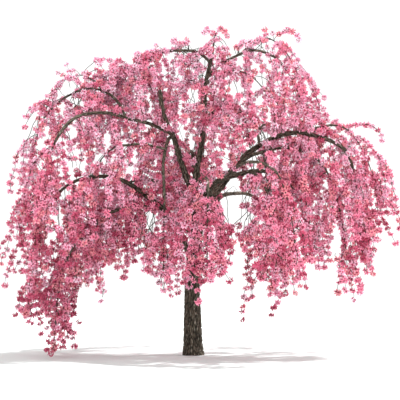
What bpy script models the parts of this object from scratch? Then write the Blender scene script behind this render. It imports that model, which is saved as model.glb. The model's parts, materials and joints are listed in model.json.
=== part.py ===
"""Weeping cherry tree in full double blossom, before its leaves: trunk, boughs and hanging masses.

Metres, +Z up. The origin is the middle of the flat cut under the trunk, on level ground.
+X is the tree's right and -Y its front. An azimuth is in degrees anticlockwise from +X, so that
180 is the left, 270 the front and 90 the back. An elevation is in degrees above level.

Every bough follows one rule: it leaves its parent at a rise, and its elevation eases to a droop.
Every mass follows the same rule again: a stem goes on from the bough's tip, strings leave it to
both sides and hang down to a ragged hem, and sprays of blossom stand out of them all.
"""

import math
import random
from collections import namedtuple

import bmesh
import bpy
import numpy as np
from mathutils import Vector

# The trunk: its lean in X and its radius at heights above the ground
TRUNK_HEIGHT = 1.72
TRUNK_LEAN = ((0.0, 0.0), (0.55, -0.008), (0.86, -0.010), (1.15, 0.028), (1.44, 0.058), (1.72, 0.012))
TRUNK_RADIUS = ((0.0, 0.097), (0.28, 0.092), (0.55, 0.082), (0.84, 0.070), (1.20, 0.064),
                (1.50, 0.058), (1.64, 0.052), (1.72, 0.030))
TRUNK_SIDES = 16
TRUNK_RINGS = 20
TRUNK_RING_CROWD = 1.35

# The root flare: how far it spreads at the ground, how soon it dies away, and its shallow lobes
FLARE = 0.017
FLARE_HEIGHT = 0.08
LOBES = 5
LOBE_DEPTH = 0.006

# Boughs are worked out in fine steps and drawn with fewer rings
PATH_STEPS = 48
BOUGH_RINGS = 9
BOUGH_SIDES = 5
TAPER_EASE = 0.8

# A bough wanders by this many degrees, in one slow wave and one fast one, once it is under way
WANDER = 6.0
SWAY_WAVES = (9.0, 19.0)
NOD_WAVES = (10.0, 21.0)
FAST_WAVE_SHARE = 0.6
WANDER_FROM = 0.25

# A limb is no thicker than this share of its parent where it leaves it, and keeps this gap to it.
# Its first few millimetres, inside the parent, are narrower.
GIRTH_SHARE = 0.66
GAP = 0.00035
ROOT_LENGTH = 0.012
ROOT_NARROWING = 0.4

# Strings and sprays of blossom
TWIG_RADIUS = 0.0068
TWIG_TIP = 0.0045
TWIG_SIDES = 3
STEM_RINGS = 7
STRING_RINGS = 4
SPRAY_LENGTH = 0.235
SPRAY_WIDTH = 0.140
SPRAY_THICKNESS = 0.075
SPRAY_WIDEST = 0.45
SPRAY_SIZES = (0.85, 1.15)
SPRAY_STEP = 0.16
SPRAY_FROM_END = 0.012
SPRAY_TRIES = 9
SPRAY_WAIST = 0.3
HANGING = -0.6
CREST_LEAN = (-10, 45)
HANGING_LEAN = (-70, -30)
GOLDEN_ANGLE = 137.5
STRING_FIRST = 0.6
STRING_SPARE = 0.2
STRING_TRIES = 6
STRING_FAN = (0.7, 1.6)
STRING_CROWD = 1.6
STRING_LIFT = (5, 40)
STRING_DROOP = -89
STRING_BEND = 0.32
STRING_WANDER = 2.0
SHORTEST_STRING = 0.25
HEM_RAGGED = 0.20
LOWEST = 0.02

# Room that a string or spray keeps to everything else. A limb counts as straight rods of a few
# steps each, and a new rod is tested at a few points along it.
CLEARANCE = 0.006
ROD_STEPS = 4
ROD_TESTS = 7
SMALLEST_SQUARE = 1e-12

# Below this, a ring's across is too near its way on to turn it by
NEARLY_ALONG = 0.1

BARK_COLOUR = "#4A4038"
BARK_ROUGHNESS = 0.9
BARK_SHARP_ANGLE = 40
BLOSSOM_COLOUR = "#E0708F"
BLOSSOM_ROUGHNESS = 0.7
BLOSSOM_SHARP_ANGLE = 30

Limb = namedtuple("Limb", "name parent at azimuth turn rise droop bend length girth tip")
Mass = namedtuple("Mass", "bough droop bend length strings fan hem reach")

# at: share of the parent's length where the limb leaves it. turn: how far the azimuth swings.
# bend: below 1 the limb droops early, above 1 late. girth and tip: radius at its two ends.
LIMBS = (
    Limb("left_leader", "trunk", 0.94, 182, -6, 54, 78, 0.45, 1.20, 0.040, 0.014),
    Limb("centre_leader", "trunk", 0.94, 10, -10, 88, 82, 0.6, 1.53, 0.034, 0.012),
    Limb("left_arch", "left_leader", 0.56, 200, 16, 22, -55, 1.8, 1.34, 0.024, 0.012),
    Limb("left_upper_arch", "left_arch", 0.40, 160, 10, 82, -60, 0.80, 1.15, 0.015, 0.007),
    Limb("left_crest", "left_upper_arch", 0.36, 150, 20, 58, 22, 1.0, 0.27, 0.009, 0.006),
    Limb("front_left_drop", "left_leader", 0.54, 245, 45, 12, -86, 0.35, 0.92, 0.020, 0.009),
    Limb("left_inner", "front_left_drop", 0.32, 212, -8, 12, -14, 1.0, 0.50, 0.013, 0.008),
    Limb("lower_left", "trunk", 0.53, 184, -4, 72, -50, 1.5, 1.95, 0.034, 0.010),
    Limb("low_left_drop", "lower_left", 0.36, 203, -15, -3, -80, 1.3, 1.29, 0.024, 0.012),
    Limb("lower_left_back", "lower_left", 0.42, 140, 20, 30, -35, 1.0, 0.80, 0.014, 0.006),
    Limb("crest_left", "centre_leader", 0.91, 176, 10, 65, -12, 0.70, 0.42, 0.016, 0.009),
    Limb("crest_right", "centre_leader", 0.79, 350, -6, 58, -52, 1.15, 0.98, 0.018, 0.009),
    Limb("crest_right_back", "crest_right", 0.50, 28, -10, 58, 4, 1.0, 0.39, 0.010, 0.006),
    Limb("right_inner", "centre_leader", 0.76, 318, 8, 24, -12, 1.2, 0.46, 0.012, 0.006),
    Limb("centre_front", "centre_leader", 0.42, 298, 10, 58, 5, 1.0, 0.50, 0.014, 0.006),
    Limb("right_arch", "trunk", 0.83, 354, -8, 51, -84, 2.5, 2.04, 0.044, 0.011),
    Limb("far_right", "right_arch", 0.70, 6, 0, 37, -15, 1.0, 0.42, 0.014, 0.006),
    Limb("far_right_back", "right_arch", 0.80, 62, 0, 44, -5, 1.0, 0.36, 0.010, 0.006),
    Limb("lower_right", "trunk", 0.86, 330, 20, 60, -38, 1.1, 1.10, 0.036, 0.010),
    Limb("middle_right", "lower_right", 0.45, 342, 6, 60, -50, 0.95, 1.10, 0.026, 0.010),
    Limb("right_drop", "middle_right", 0.37, 305, 0, -55, -86, 0.4, 0.42, 0.013, 0.008),
    Limb("lower_right_front", "lower_right", 0.48, 302, 0, 14, -60, 1.0, 0.62, 0.012, 0.006),
    Limb("right_rise", "right_arch", 0.46, 110, -80, 66, 0, 1.0, 0.58, 0.013, 0.006),
    Limb("front_right", "trunk", 0.72, 303, 2, 66, -35, 1.15, 1.55, 0.021, 0.007),
    Limb("front_middle", "trunk", 0.78, 276, 0, 66, -50, 1.1, 1.15, 0.020, 0.008),
    Limb("back_left", "trunk", 0.76, 132, 8, 66, -50, 1.1, 1.75, 0.026, 0.008),
    Limb("back_middle", "trunk", 0.88, 99, 0, 74, -40, 1.3, 1.50, 0.024, 0.008),
    Limb("back_right", "trunk", 0.68, 48, 4, 64, -50, 1.1, 1.8, 0.026, 0.008),
    Limb("back_crest", "centre_leader", 0.7, 112, 10, 66, -35, 0.8, 0.8, 0.015, 0.007),
)

# droop, bend and length: those of the mass's stem. fan: how far strings leave to its sides.
# hem: height of the lowest blossom. reach: how far the mass spreads level from its stem.
MASSES = (
    Mass("left_leader", -75, 0.7, 1.00, 5, 60, 2.20, 0.48),
    Mass("centre_leader", 82, 1.0, 0.20, 4, 40, 2.80, 0.30),
    Mass("left_arch", -88, 0.45, 0.75, 4, 60, 1.20, 0.46),
    Mass("left_upper_arch", -89, 0.32, 0.95, 4, 50, 0.85, 0.28),
    Mass("left_crest", -84, 0.6, 0.62, 4, 60, 2.10, 0.40),
    Mass("front_left_drop", -88, 0.40, 0.80, 4, 70, 0.72, 0.44),
    Mass("left_inner", -88, 0.40, 0.90, 4, 60, 0.86, 0.44),
    Mass("lower_left", -88, 0.40, 1.10, 5, 60, 0.22, 0.48),
    Mass("low_left_drop", -88, 0.30, 0.72, 5, 85, 0.04, 0.32),
    Mass("lower_left_back", -88, 0.40, 0.90, 4, 60, 0.74, 0.48),
    Mass("crest_left", -84, 1.0, 1.15, 5, 60, 2.30, 0.44),
    Mass("crest_right", -86, 0.60, 1.05, 5, 60, 1.75, 0.44),
    Mass("crest_right_back", -86, 0.5, 0.82, 5, 60, 2.20, 0.34),
    Mass("right_inner", -88, 0.7, 0.8, 4, 60, 1.9, 0.44),
    Mass("centre_front", -88, 0.6, 0.72, 4, 60, 1.72, 0.44),
    Mass("right_arch", -88, 0.35, 1.05, 5, 60, 0.95, 0.4),
    Mass("far_right", -89, 0.42, 0.95, 4, 60, 1.28, 0.3),
    Mass("far_right_back", -88, 0.5, 1.10, 4, 60, 0.95, 0.28),
    Mass("lower_right", -88, 0.40, 1.00, 5, 60, 0.74, 0.46),
    Mass("middle_right", -88, 0.40, 1.00, 4, 60, 0.70, 0.46),
    Mass("right_drop", -88, 0.40, 0.85, 4, 60, 0.40, 0.30),
    Mass("lower_right_front", -88, 0.40, 0.85, 4, 60, 0.80, 0.36),
    Mass("right_rise", -87, 0.60, 0.85, 4, 60, 1.50, 0.46),
    Mass("front_right", -88, 0.40, 0.92, 5, 70, 0.85, 0.46),
    Mass("front_middle", -88, 0.40, 0.85, 6, 75, 0.72, 0.46),
    Mass("back_left", -88, 0.45, 0.95, 5, 70, 0.93, 0.5),
    Mass("back_middle", -88, 0.45, 1.00, 5, 70, 0.8, 0.5),
    Mass("back_right", -88, 0.45, 1.00, 5, 70, 0.76, 0.5),
    Mass("back_crest", -88, 0.50, 0.90, 5, 70, 1.85, 0.52),
)


def clear_scene():
    for thing in list(bpy.data.objects):
        bpy.data.objects.remove(thing, do_unlink=True)


# The growth rule


def heading(azimuth, elevation):
    """The unit vector that points this way."""
    level = math.cos(math.radians(elevation))
    across = level * math.cos(math.radians(azimuth))
    away = level * math.sin(math.radians(azimuth))
    return np.array([across, away, math.sin(math.radians(elevation))])


def bearing(direction):
    """The azimuth and elevation of a unit vector."""
    azimuth = math.degrees(math.atan2(direction[1], direction[0]))
    return azimuth, math.degrees(math.asin(max(-1.0, min(1.0, direction[2]))))


def along(path, share):
    """The point at this share of a path of even steps."""
    place = share * (len(path) - 1)
    index = min(int(place), len(path) - 2)
    return path[index] + (path[index + 1] - path[index]) * (place - index)


def tangents(points):
    """The way on at each of these points, from its neighbours."""
    last = len(points) - 1
    return [points[min(i + 1, last)] - points[max(i - 1, 0)] for i in range(last + 1)]


def two_waves(t, waves, phases):
    return math.sin(waves[0] * t + phases[0]) + FAST_WAVE_SHARE * math.sin(waves[1] * t + phases[1])


def grow_path(start, azimuth, turn, rise, droop, bend, length, wander, phases):
    """A path of even steps whose elevation eases from rise to droop, with a wander of a few degrees."""
    points = [np.array(start, dtype=float)]
    for i in range(PATH_STEPS):
        t = (i + 0.5) / PATH_STEPS
        swing = wander * min(1.0, t / WANDER_FROM)
        sway = swing * two_waves(t, SWAY_WAVES, phases[:2])
        nod = swing * two_waves(t, NOD_WAVES, phases[2:])
        elevation = rise + (droop - rise) * t ** bend + nod
        direction = heading(azimuth + turn * t + sway, elevation)
        points.append(points[-1] + direction * length / PATH_STEPS)
    return points


def wander_phases(rng):
    return [rng.uniform(0, 2 * math.pi) for _ in range(4)]


def value_at(rows, height):
    return float(np.interp(height, [row[0] for row in rows], [row[1] for row in rows]))


def trunk_path():
    """The trunk's middle line and radii, without its flare."""
    heights = np.linspace(0.0, TRUNK_HEIGHT, PATH_STEPS + 1)
    points = [np.array([value_at(TRUNK_LEAN, z), 0.0, z]) for z in heights]
    return points, [value_at(TRUNK_RADIUS, z) for z in heights]


def limb_path(limb, start, thickest):
    phases = wander_phases(random.Random(limb.name))
    points = grow_path(start, limb.azimuth, limb.turn, limb.rise, limb.droop, limb.bend,
                       limb.length, WANDER, phases)
    girth = min(limb.girth, thickest)
    shares = np.linspace(0.0, 1.0, PATH_STEPS + 1)
    return points, [girth + (limb.tip - girth) * t ** TAPER_EASE for t in shares]


def grow_limbs():
    """Each limb's middle line and radii by name, the trunk first."""
    limbs = {"trunk": trunk_path()}
    for limb in LIMBS:
        points, radii = limbs[limb.parent]
        thickest = GIRTH_SHARE * along(radii, limb.at)
        limbs[limb.name] = limb_path(limb, along(points, limb.at), thickest)
    return limbs


class Room:
    """The room already taken, as straight rods that each have a radius and an owner."""

    def __init__(self):
        self.starts = np.empty((0, 3))
        self.ends = np.empty((0, 3))
        self.radii = np.empty(0)
        self.owners = np.empty(0, dtype=object)

    def take(self, start, end, radius, owner):
        self.starts = np.vstack([self.starts, start])
        self.ends = np.vstack([self.ends, end])
        self.radii = np.append(self.radii, radius)
        self.owners = np.append(self.owners, owner)

    def is_free(self, start, end, radius, owners):
        """Whether a rod keeps its clearance to every rod that isn't one of these owners'."""
        others = ~np.isin(self.owners, owners)
        starts = self.starts[others]
        runs = self.ends[others] - starts
        squares = np.maximum((runs * runs).sum(axis=1), SMALLEST_SQUARE)
        room = self.radii[others] + radius + CLEARANCE
        for share in np.linspace(0.0, 1.0, ROD_TESTS):
            point = start + (end - start) * share
            foot = np.clip(((point - starts) * runs).sum(axis=1) / squares, 0.0, 1.0)
            distance = np.linalg.norm(starts + runs * foot[:, None] - point, axis=1)
            if (distance < room).any():
                return False
        return True


def take_limbs(limbs):
    room = Room()
    for name, (points, radii) in limbs.items():
        for i in range(0, PATH_STEPS, ROD_STEPS):
            room.take(points[i], points[i + ROD_STEPS], radii[i], name)
    return room


def ring_shares(rings, crowd):
    """Shares of a path for its rings, crowded towards its start, where it bends most."""
    return [(k / (rings - 1)) ** crowd for k in range(rings)]


def spread_from(point, line):
    """How far the point is, level, from the nearest point of the line."""
    return min(np.linalg.norm((point - other)[:2]) for other in line)


def free_length(rings, lowest, reach, stem, room, owners):
    """The rings of a twig as far as it stays free, above the lowest height and within reach."""
    kept = [rings[0]]
    for start, end in zip(rings, rings[1:]):
        if end[2] < lowest or spread_from(end, stem) > reach:
            break
        if not room.is_free(start, end, TWIG_RADIUS, owners):
            break
        kept.append(end)
    return kept


def grow_stem(mass, limbs, room):
    """The stem's rings, which go on from the bough's tip."""
    points, _ = limbs[mass.bough]
    out = (points[-1] - points[-2]) / np.linalg.norm(points[-1] - points[-2])
    azimuth, elevation = bearing(out)
    path = grow_path(points[-1] + out * GAP, azimuth, 0, elevation, mass.droop, mass.bend,
                     mass.length, 0.0, wander_phases(random.Random(mass.bough)))
    rings = [along(path, share) for share in ring_shares(STEM_RINGS, 1.0)]
    return rings[:1] + free_length(rings[1:], mass.hem, mass.reach, rings, room, [mass.bough])


def grow_string(mass, stem, index, room, rng):
    """The best of a few tries at a string that leaves the stem to one side and hangs to the hem."""
    share = (index + STRING_FIRST) / (mass.strings + STRING_SPARE)
    start = along(stem, share)
    ahead = along(tangents(stem), share)
    azimuth, _ = bearing(ahead / np.linalg.norm(ahead))
    side = 1 if index % 2 else -1
    own = [twig_name(mass, 0), spray_name(mass)]
    best = []
    for _ in range(STRING_TRIES):
        leave = azimuth + side * mass.fan * rng.uniform(*STRING_FAN)
        lift = rng.uniform(*STRING_LIFT)
        length = max(SHORTEST_STRING, start[2] - mass.hem - rng.uniform(0.0, HEM_RAGGED))
        path = grow_path(start, leave, 0, lift, STRING_DROOP, STRING_BEND, length, STRING_WANDER,
                         wander_phases(rng))
        rings = [along(path, share) for share in ring_shares(STRING_RINGS, STRING_CROWD)]
        rings = free_length(rings, mass.hem, mass.reach, stem, room, own)
        if len(rings) > len(best):
            best = rings
        if len(best) == STRING_RINGS:
            break
    return best if len(best) > 2 else None


def grow_sprays(rings, index, mass, stem, room, rng, crest):
    """Sprays along one twig from its end upwards, clear of all but it: each one's root, tip and size.

    Those of the crest stand up from where the twig runs level, and the others hang from where it hangs.
    """
    runs = [b - a for a, b in zip(rings, rings[1:])]
    lengths = [np.linalg.norm(run) for run in runs]
    places = np.concatenate([[0.0], np.cumsum(lengths)])
    spin = rng.uniform(0, 360)
    found = []
    for n in range(int(places[-1] / SPRAY_STEP)):
        place = places[-1] - SPRAY_FROM_END - n * SPRAY_STEP
        at = np.searchsorted(places, place) - 1
        is_level = runs[at][2] / lengths[at] > HANGING
        if is_level != crest:
            continue
        root = rings[at] + runs[at] * (place - places[at]) / lengths[at]
        size = rng.uniform(*SPRAY_SIZES)
        radius = SPRAY_WIDTH * size / 2
        for _ in range(SPRAY_TRIES):
            spin += GOLDEN_ANGLE
            lean = rng.uniform(*(CREST_LEAN if crest else HANGING_LEAN))
            tip = root + SPRAY_LENGTH * size * heading(spin, lean)
            waist = root + (tip - root) * SPRAY_WAIST
            if spread_from(tip, stem) > mass.reach + SPRAY_WIDTH or tip[2] < LOWEST:
                continue
            if room.is_free(waist, tip, radius, [twig_name(mass, index)]):
                room.take(waist, tip, radius, spray_name(mass))
                found.append((root, tip, size))
                break
    return found


def twig_name(mass, index):
    """The name under which a mass's twigs take their room. Twig 0 is the stem."""
    return f"{mass.bough} twig {index}"


def spray_name(mass):
    """The name under which a mass's sprays take their room."""
    return mass.bough + " sprays"


def take_twig(rings, room, owner):
    for start, end in zip(rings, rings[1:]):
        room.take(start, end, TWIG_RADIUS, owner)


def grow_masses(limbs):
    """Each mass's twigs, its stem first, and its sprays.

    All stems grow first, then the sprays that crown their arches, then all strings, and last the
    sprays that hang.
    """
    room = take_limbs(limbs)
    twigs = {}
    for mass in MASSES:
        stem = grow_stem(mass, limbs, room)
        twigs[mass.bough] = [stem]
        take_twig(stem, room, twig_name(mass, 0))
    sprays = {}
    for mass in MASSES:
        rng = random.Random(mass.bough + " crest")
        stem = twigs[mass.bough][0]
        sprays[mass.bough] = grow_sprays(stem, 0, mass, stem, room, rng, True)
    for mass in MASSES:
        rng = random.Random(mass.bough + " strings")
        stem = twigs[mass.bough][0]
        for index in range(mass.strings):
            string = grow_string(mass, stem, index, room, rng)
            if string:
                take_twig(string, room, twig_name(mass, len(twigs[mass.bough])))
                twigs[mass.bough].append(string)
    for mass in MASSES:
        rng = random.Random(mass.bough + " sprays")
        stem = twigs[mass.bough][0]
        for index, rings in enumerate(twigs[mass.bough]):
            sprays[mass.bough] += grow_sprays(rings, index, mass, stem, room, rng, False)
    return twigs, sprays


# Meshes


def frames(points, ways):
    """Two unit vectors across each point's way on, carried along without a twist."""
    across = None
    found = []
    for point, way in zip(points, ways):
        ahead = Vector(way).normalized()
        if across is None:
            across = Vector((0, 1, 0)).cross(ahead)
            if across.length < NEARLY_ALONG:
                across = Vector((1, 0, 0))
        across = across - ahead * across.dot(ahead)
        across.normalize()
        found.append((Vector(point), across.copy(), ahead.cross(across)))
    return found


def add_tube(bm, points, ways, radii, sides):
    """A closed tube with flat ends, round the points, each ring square to its way on."""
    rings = []
    for (centre, across, up), radius in zip(frames(points, ways), radii):
        ring = []
        for k in range(sides):
            angle = 2 * math.pi * k / sides
            reach = across * math.cos(angle) + up * math.sin(angle)
            ring.append(bm.verts.new(centre + reach * radius))
        rings.append(ring)
    join_rings(bm, rings)


def join_rings(bm, rings):
    """Faces between rings of equal count, and one flat face on each end."""
    sides = len(rings[0])
    for low, high in zip(rings, rings[1:]):
        for k in range(sides):
            after = (k + 1) % sides
            bm.faces.new((low[k], low[after], high[after], high[k]))
    bm.faces.new(reversed(rings[0]))
    bm.faces.new(rings[-1])


def trunk_ring(bm, z, grow):
    """One level ring of the trunk, with the flare and its lobes."""
    near_ground = math.exp(-z / FLARE_HEIGHT)
    ring = []
    for k in range(TRUNK_SIDES):
        angle = 2 * math.pi * k / TRUNK_SIDES
        lobe = LOBE_DEPTH * near_ground * math.cos(LOBES * angle)
        radius = value_at(TRUNK_RADIUS, z) + FLARE * near_ground + lobe + grow
        x = value_at(TRUNK_LEAN, z) + radius * math.cos(angle)
        ring.append(bm.verts.new((x, radius * math.sin(angle), z)))
    return ring


def add_trunk(bm, grow=0.0):
    """The trunk from its flat cut on the ground to its fork, its rings closer in the flare."""
    heights = [(TRUNK_HEIGHT + grow) * share for share in ring_shares(TRUNK_RINGS, TRUNK_RING_CROWD)]
    join_rings(bm, [trunk_ring(bm, z, grow) for z in heights])


def add_spray(bm, root, tip, size):
    """A spray of blossom: eight faces round a four-cornered waist."""
    root, tip = Vector(root), Vector(tip)
    ahead = (tip - root).normalized()
    across = ahead.cross(Vector((0, 0, 1))).normalized()
    up = across.cross(ahead)
    middle = root.lerp(tip, SPRAY_WIDEST)
    width = across * SPRAY_WIDTH * size / 2
    thickness = up * SPRAY_THICKNESS * size / 2
    waist = [bm.verts.new(middle + offset) for offset in (width, thickness, -width, -thickness)]
    first = bm.verts.new(root)
    last = bm.verts.new(tip)
    for k in range(4):
        corner, following = waist[k], waist[(k + 1) % 4]
        bm.faces.new((first, following, corner))
        bm.faces.new((corner, following, last))


def linear_colour(hex_colour):
    """A colour from its sRGB hex value."""
    channels = [int(hex_colour[k:k + 2], 16) / 255 for k in (1, 3, 5)]
    linear = [c / 12.92 if c <= 0.04045 else ((c + 0.055) / 1.055) ** 2.4 for c in channels]
    return (*linear, 1.0)


def make_material(name, hex_colour, roughness):
    material = bpy.data.materials.new(name)
    material.use_nodes = True
    shader = material.node_tree.nodes["Principled BSDF"]
    shader.inputs["Base Color"].default_value = linear_colour(hex_colour)
    shader.inputs["Roughness"].default_value = roughness
    shader.inputs["Metallic"].default_value = 0.0
    return material


def mesh_object(name, fill, collection=None):
    """An object whose mesh the fill function makes."""
    bm = bmesh.new()
    fill(bm)
    bmesh.ops.recalc_face_normals(bm, faces=bm.faces)
    mesh = bpy.data.meshes.new(name)
    bm.to_mesh(mesh)
    bm.free()
    thing = bpy.data.objects.new(name, mesh)
    (collection or bpy.context.scene.collection).objects.link(thing)
    return thing


def shade(thing, material, sharp_angle):
    thing.data.materials.clear()
    thing.data.materials.append(material)
    thing.data.shade_smooth()
    thing.data.set_sharp_from_angle(angle=math.radians(sharp_angle))


def apply_modifiers(thing):
    """Swaps the object's mesh for the one that its modifiers give."""
    graph = bpy.context.evaluated_depsgraph_get()
    made = bpy.data.meshes.new_from_object(thing.evaluated_get(graph))
    thing.modifiers.clear()
    thing.data = made


def add_bough(bm, points, radii, grow=0.0):
    """A bough's tube, which starts narrower, so that it stays inside its parent until it leaves it."""
    length = PATH_STEPS * np.linalg.norm(points[1] - points[0])
    shares = ring_shares(BOUGH_RINGS, 1.0)
    shares.insert(1, ROOT_LENGTH / length)
    centres = [along(points, share) for share in shares]
    ways = [along(tangents(points), share) for share in shares]
    sizes = [along(radii, share) + grow for share in shares]
    sizes[0] *= ROOT_NARROWING
    add_tube(bm, centres, ways, sizes, BOUGH_SIDES)


def make_trunk():
    trunk = mesh_object("trunk", add_trunk)
    shade(trunk, make_material("trunk bark", BARK_COLOUR, BARK_ROUGHNESS), BARK_SHARP_ANGLE)


def make_cutter(name, limbs):
    """A limb grown by the gap, which cuts the limbs that spring from it."""
    points, radii = limbs[name]
    if name == "trunk":
        cutter = mesh_object("clear_of_" + name, lambda bm: add_trunk(bm, GAP))
    else:
        cutter = mesh_object("clear_of_" + name, lambda bm: add_bough(bm, points, radii, GAP))
    cutter.hide_render = True
    cutter.display_type = "WIRE"
    return cutter


def neighbours_of(limb, limbs):
    """The parent, and the limbs before this one that spring from the same stretch of it."""
    found = [limb.parent]
    start = limbs[limb.name][0][0]
    for other in LIMBS:
        if other.name == limb.name:
            break
        near = np.linalg.norm(limbs[other.name][0][0] - start)
        if other.parent == limb.parent and near < other.girth + limb.girth + GAP:
            found.append(other.name)
    return found


def make_boughs(limbs):
    cutters = {}
    for limb in LIMBS:
        points, radii = limbs[limb.name]
        bough = mesh_object(limb.name, lambda bm: add_bough(bm, points, radii))
        shade(bough, make_material(limb.name + " bark", BARK_COLOUR, BARK_ROUGHNESS), BARK_SHARP_ANGLE)
        for name in neighbours_of(limb, limbs):
            if name not in cutters:
                cutters[name] = make_cutter(name, limbs)
            joint = bough.modifiers.new("clear of " + name, "BOOLEAN")
            joint.operation = "DIFFERENCE"
            joint.solver = "EXACT"
            joint.object = cutters[name]


def keep_largest_piece(mesh):
    """Drops loose scraps and the walls of sealed hollows, which leaves the outer shell."""
    bm = bmesh.new()
    bm.from_mesh(mesh)
    waiting = set(bm.verts)
    pieces = []
    while waiting:
        piece = set()
        edge = [waiting.pop()]
        while edge:
            vertex = edge.pop()
            piece.add(vertex)
            for link in vertex.link_edges:
                other = link.other_vert(vertex)
                if other in waiting:
                    waiting.discard(other)
                    edge.append(other)
        pieces.append(piece)
    pieces.sort(key=len)
    for piece in pieces[:-1]:
        bmesh.ops.delete(bm, geom=list(piece), context="VERTS")
    bm.to_mesh(mesh)
    bm.free()


def make_mass(mass, bough, twigs, sprays):
    """A mass of blossom: its strings and sprays fused to its stem, which meets its bough's tip."""
    points, bough_radii = bough
    fused = bpy.data.collections.new("fused to " + mass.bough)
    bpy.context.scene.collection.children.link(fused)
    for k, rings in enumerate(twigs):
        ways = tangents(rings)
        girth = TWIG_RADIUS
        if k == 0:
            ways[0] = points[-1] - points[-2]
            girth = bough_radii[-1]
        radii = list(np.linspace(girth, TWIG_TIP, len(rings)))
        name = mass.bough + "_blossom" if k == 0 else "string"
        home = None if k == 0 else fused
        made = mesh_object(name, lambda bm: add_tube(bm, rings, ways, radii, TWIG_SIDES), home)
        if k == 0:
            blossom = made
    for root, tip, size in sprays:
        mesh_object("spray", lambda bm: add_spray(bm, root, tip, size), fused)
    union = blossom.modifiers.new("fuse", "BOOLEAN")
    union.operation = "UNION"
    union.solver = "MANIFOLD"
    union.operand_type = "COLLECTION"
    union.collection = fused
    apply_modifiers(blossom)
    for thing in list(fused.objects):
        bpy.data.objects.remove(thing, do_unlink=True)
    bpy.data.collections.remove(fused)
    keep_largest_piece(blossom.data)
    material = make_material(mass.bough + " blossom", BLOSSOM_COLOUR, BLOSSOM_ROUGHNESS)
    shade(blossom, material, BLOSSOM_SHARP_ANGLE)


def main():
    clear_scene()
    limbs = grow_limbs()
    make_trunk()
    make_boughs(limbs)
    twigs, sprays = grow_masses(limbs)
    for mass in MASSES:
        make_mass(mass, limbs[mass.bough], twigs[mass.bough], sprays[mass.bough])


main()
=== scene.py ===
"""Weeping cherry tree in full double blossom: the looks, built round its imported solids.

Metres, +Z up, with the origin in the middle of the flat cut under the trunk. +X is the tree's
right and -Y its front. Limbs and masses grow by the rule that made the solids, from the same
rows and seeds, so that they lie where the solids lie. Finer twigs and flowers grow on from them.
"""

import functools
import json
import math
import random
from collections import namedtuple

import bpy
import numpy as np
from bpy.props import FloatProperty, FloatVectorProperty, PointerProperty
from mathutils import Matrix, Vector
from mathutils.noise import noise as mathutils_noise

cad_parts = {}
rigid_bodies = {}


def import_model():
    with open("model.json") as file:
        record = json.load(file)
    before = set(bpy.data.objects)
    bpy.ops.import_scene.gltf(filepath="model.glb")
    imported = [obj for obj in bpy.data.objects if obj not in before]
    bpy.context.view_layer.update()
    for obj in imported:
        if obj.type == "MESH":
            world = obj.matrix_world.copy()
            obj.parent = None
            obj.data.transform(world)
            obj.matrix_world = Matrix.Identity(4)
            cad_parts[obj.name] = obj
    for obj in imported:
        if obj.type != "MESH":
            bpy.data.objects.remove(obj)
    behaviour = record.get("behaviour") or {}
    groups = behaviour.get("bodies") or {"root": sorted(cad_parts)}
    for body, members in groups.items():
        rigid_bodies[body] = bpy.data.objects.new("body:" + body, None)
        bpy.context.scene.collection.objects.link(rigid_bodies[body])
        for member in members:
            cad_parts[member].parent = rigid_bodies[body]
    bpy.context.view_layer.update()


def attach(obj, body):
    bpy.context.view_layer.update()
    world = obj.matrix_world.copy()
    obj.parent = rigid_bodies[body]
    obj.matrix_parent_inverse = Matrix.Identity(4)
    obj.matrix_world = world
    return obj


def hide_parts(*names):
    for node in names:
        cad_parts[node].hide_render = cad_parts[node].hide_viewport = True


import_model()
BODY = "root"

bl_info = {
    "name": "Weeping Cherry Tree",
    "version": (1, 0, 0),
    "blender": (4, 5, 0),
    "location": "3D View > Sidebar > Cherry Tree",
    "description": "Bark, hanging twigs and double blossom for a weeping cherry tree",
    "category": "Add Mesh",
}

# The trunk: its lean in X and its radius at heights above the ground
TRUNK_HEIGHT = 1.72
TRUNK_LEAN = ((0.0, 0.0), (0.55, -0.008), (0.86, -0.010), (1.15, 0.028), (1.44, 0.058), (1.72, 0.012))
TRUNK_RADIUS = ((0.0, 0.097), (0.28, 0.092), (0.55, 0.082), (0.84, 0.070), (1.20, 0.064),
                (1.50, 0.058), (1.64, 0.052), (1.72, 0.030))

# The root flare: how far it spreads at the ground, how soon it dies away, and its shallow lobes
FLARE = 0.017
FLARE_HEIGHT = 0.08
LOBES = 5
LOBE_DEPTH = 0.006

# Limbs and twigs are worked out in fine steps. A limb's girth eases from its root's to its tip's.
PATH_STEPS = 48
TAPER_EASE = 0.8

# A bough wanders by this many degrees, in one slow wave and one fast one, once it is under way
WANDER = 6.0
SWAY_WAVES = (9.0, 19.0)
NOD_WAVES = (10.0, 21.0)
FAST_WAVE_SHARE = 0.6
WANDER_FROM = 0.25

# A limb is no thicker than this share of its parent where it leaves it. A stem starts this gap
# beyond its bough's tip.
GIRTH_SHARE = 0.66
GAP = 0.00035

# Strings and sprays of blossom, as the solids have them
TWIG_RADIUS = 0.0068
STEM_RINGS = 7
STRING_RINGS = 4
SPRAY_LENGTH = 0.235
SPRAY_WIDTH = 0.140
SPRAY_SIZES = (0.85, 1.15)
SPRAY_STEP = 0.16
SPRAY_FROM_END = 0.012
SPRAY_TRIES = 9
SPRAY_WAIST = 0.3
HANGING = -0.6
CREST_LEAN = (-10, 45)
HANGING_LEAN = (-70, -30)
GOLDEN_ANGLE = 137.5
STRING_FIRST = 0.6
STRING_SPARE = 0.2
STRING_TRIES = 6
STRING_FAN = (0.7, 1.6)
STRING_CROWD = 1.6
FEWEST_RINGS = 3
STRING_LIFT = (5, 40)
STRING_DROOP = -89
STRING_BEND = 0.32
STRING_WANDER = 2.0
SHORTEST_STRING = 0.25
HEM_RAGGED = 0.20
LOWEST = 0.02

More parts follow.
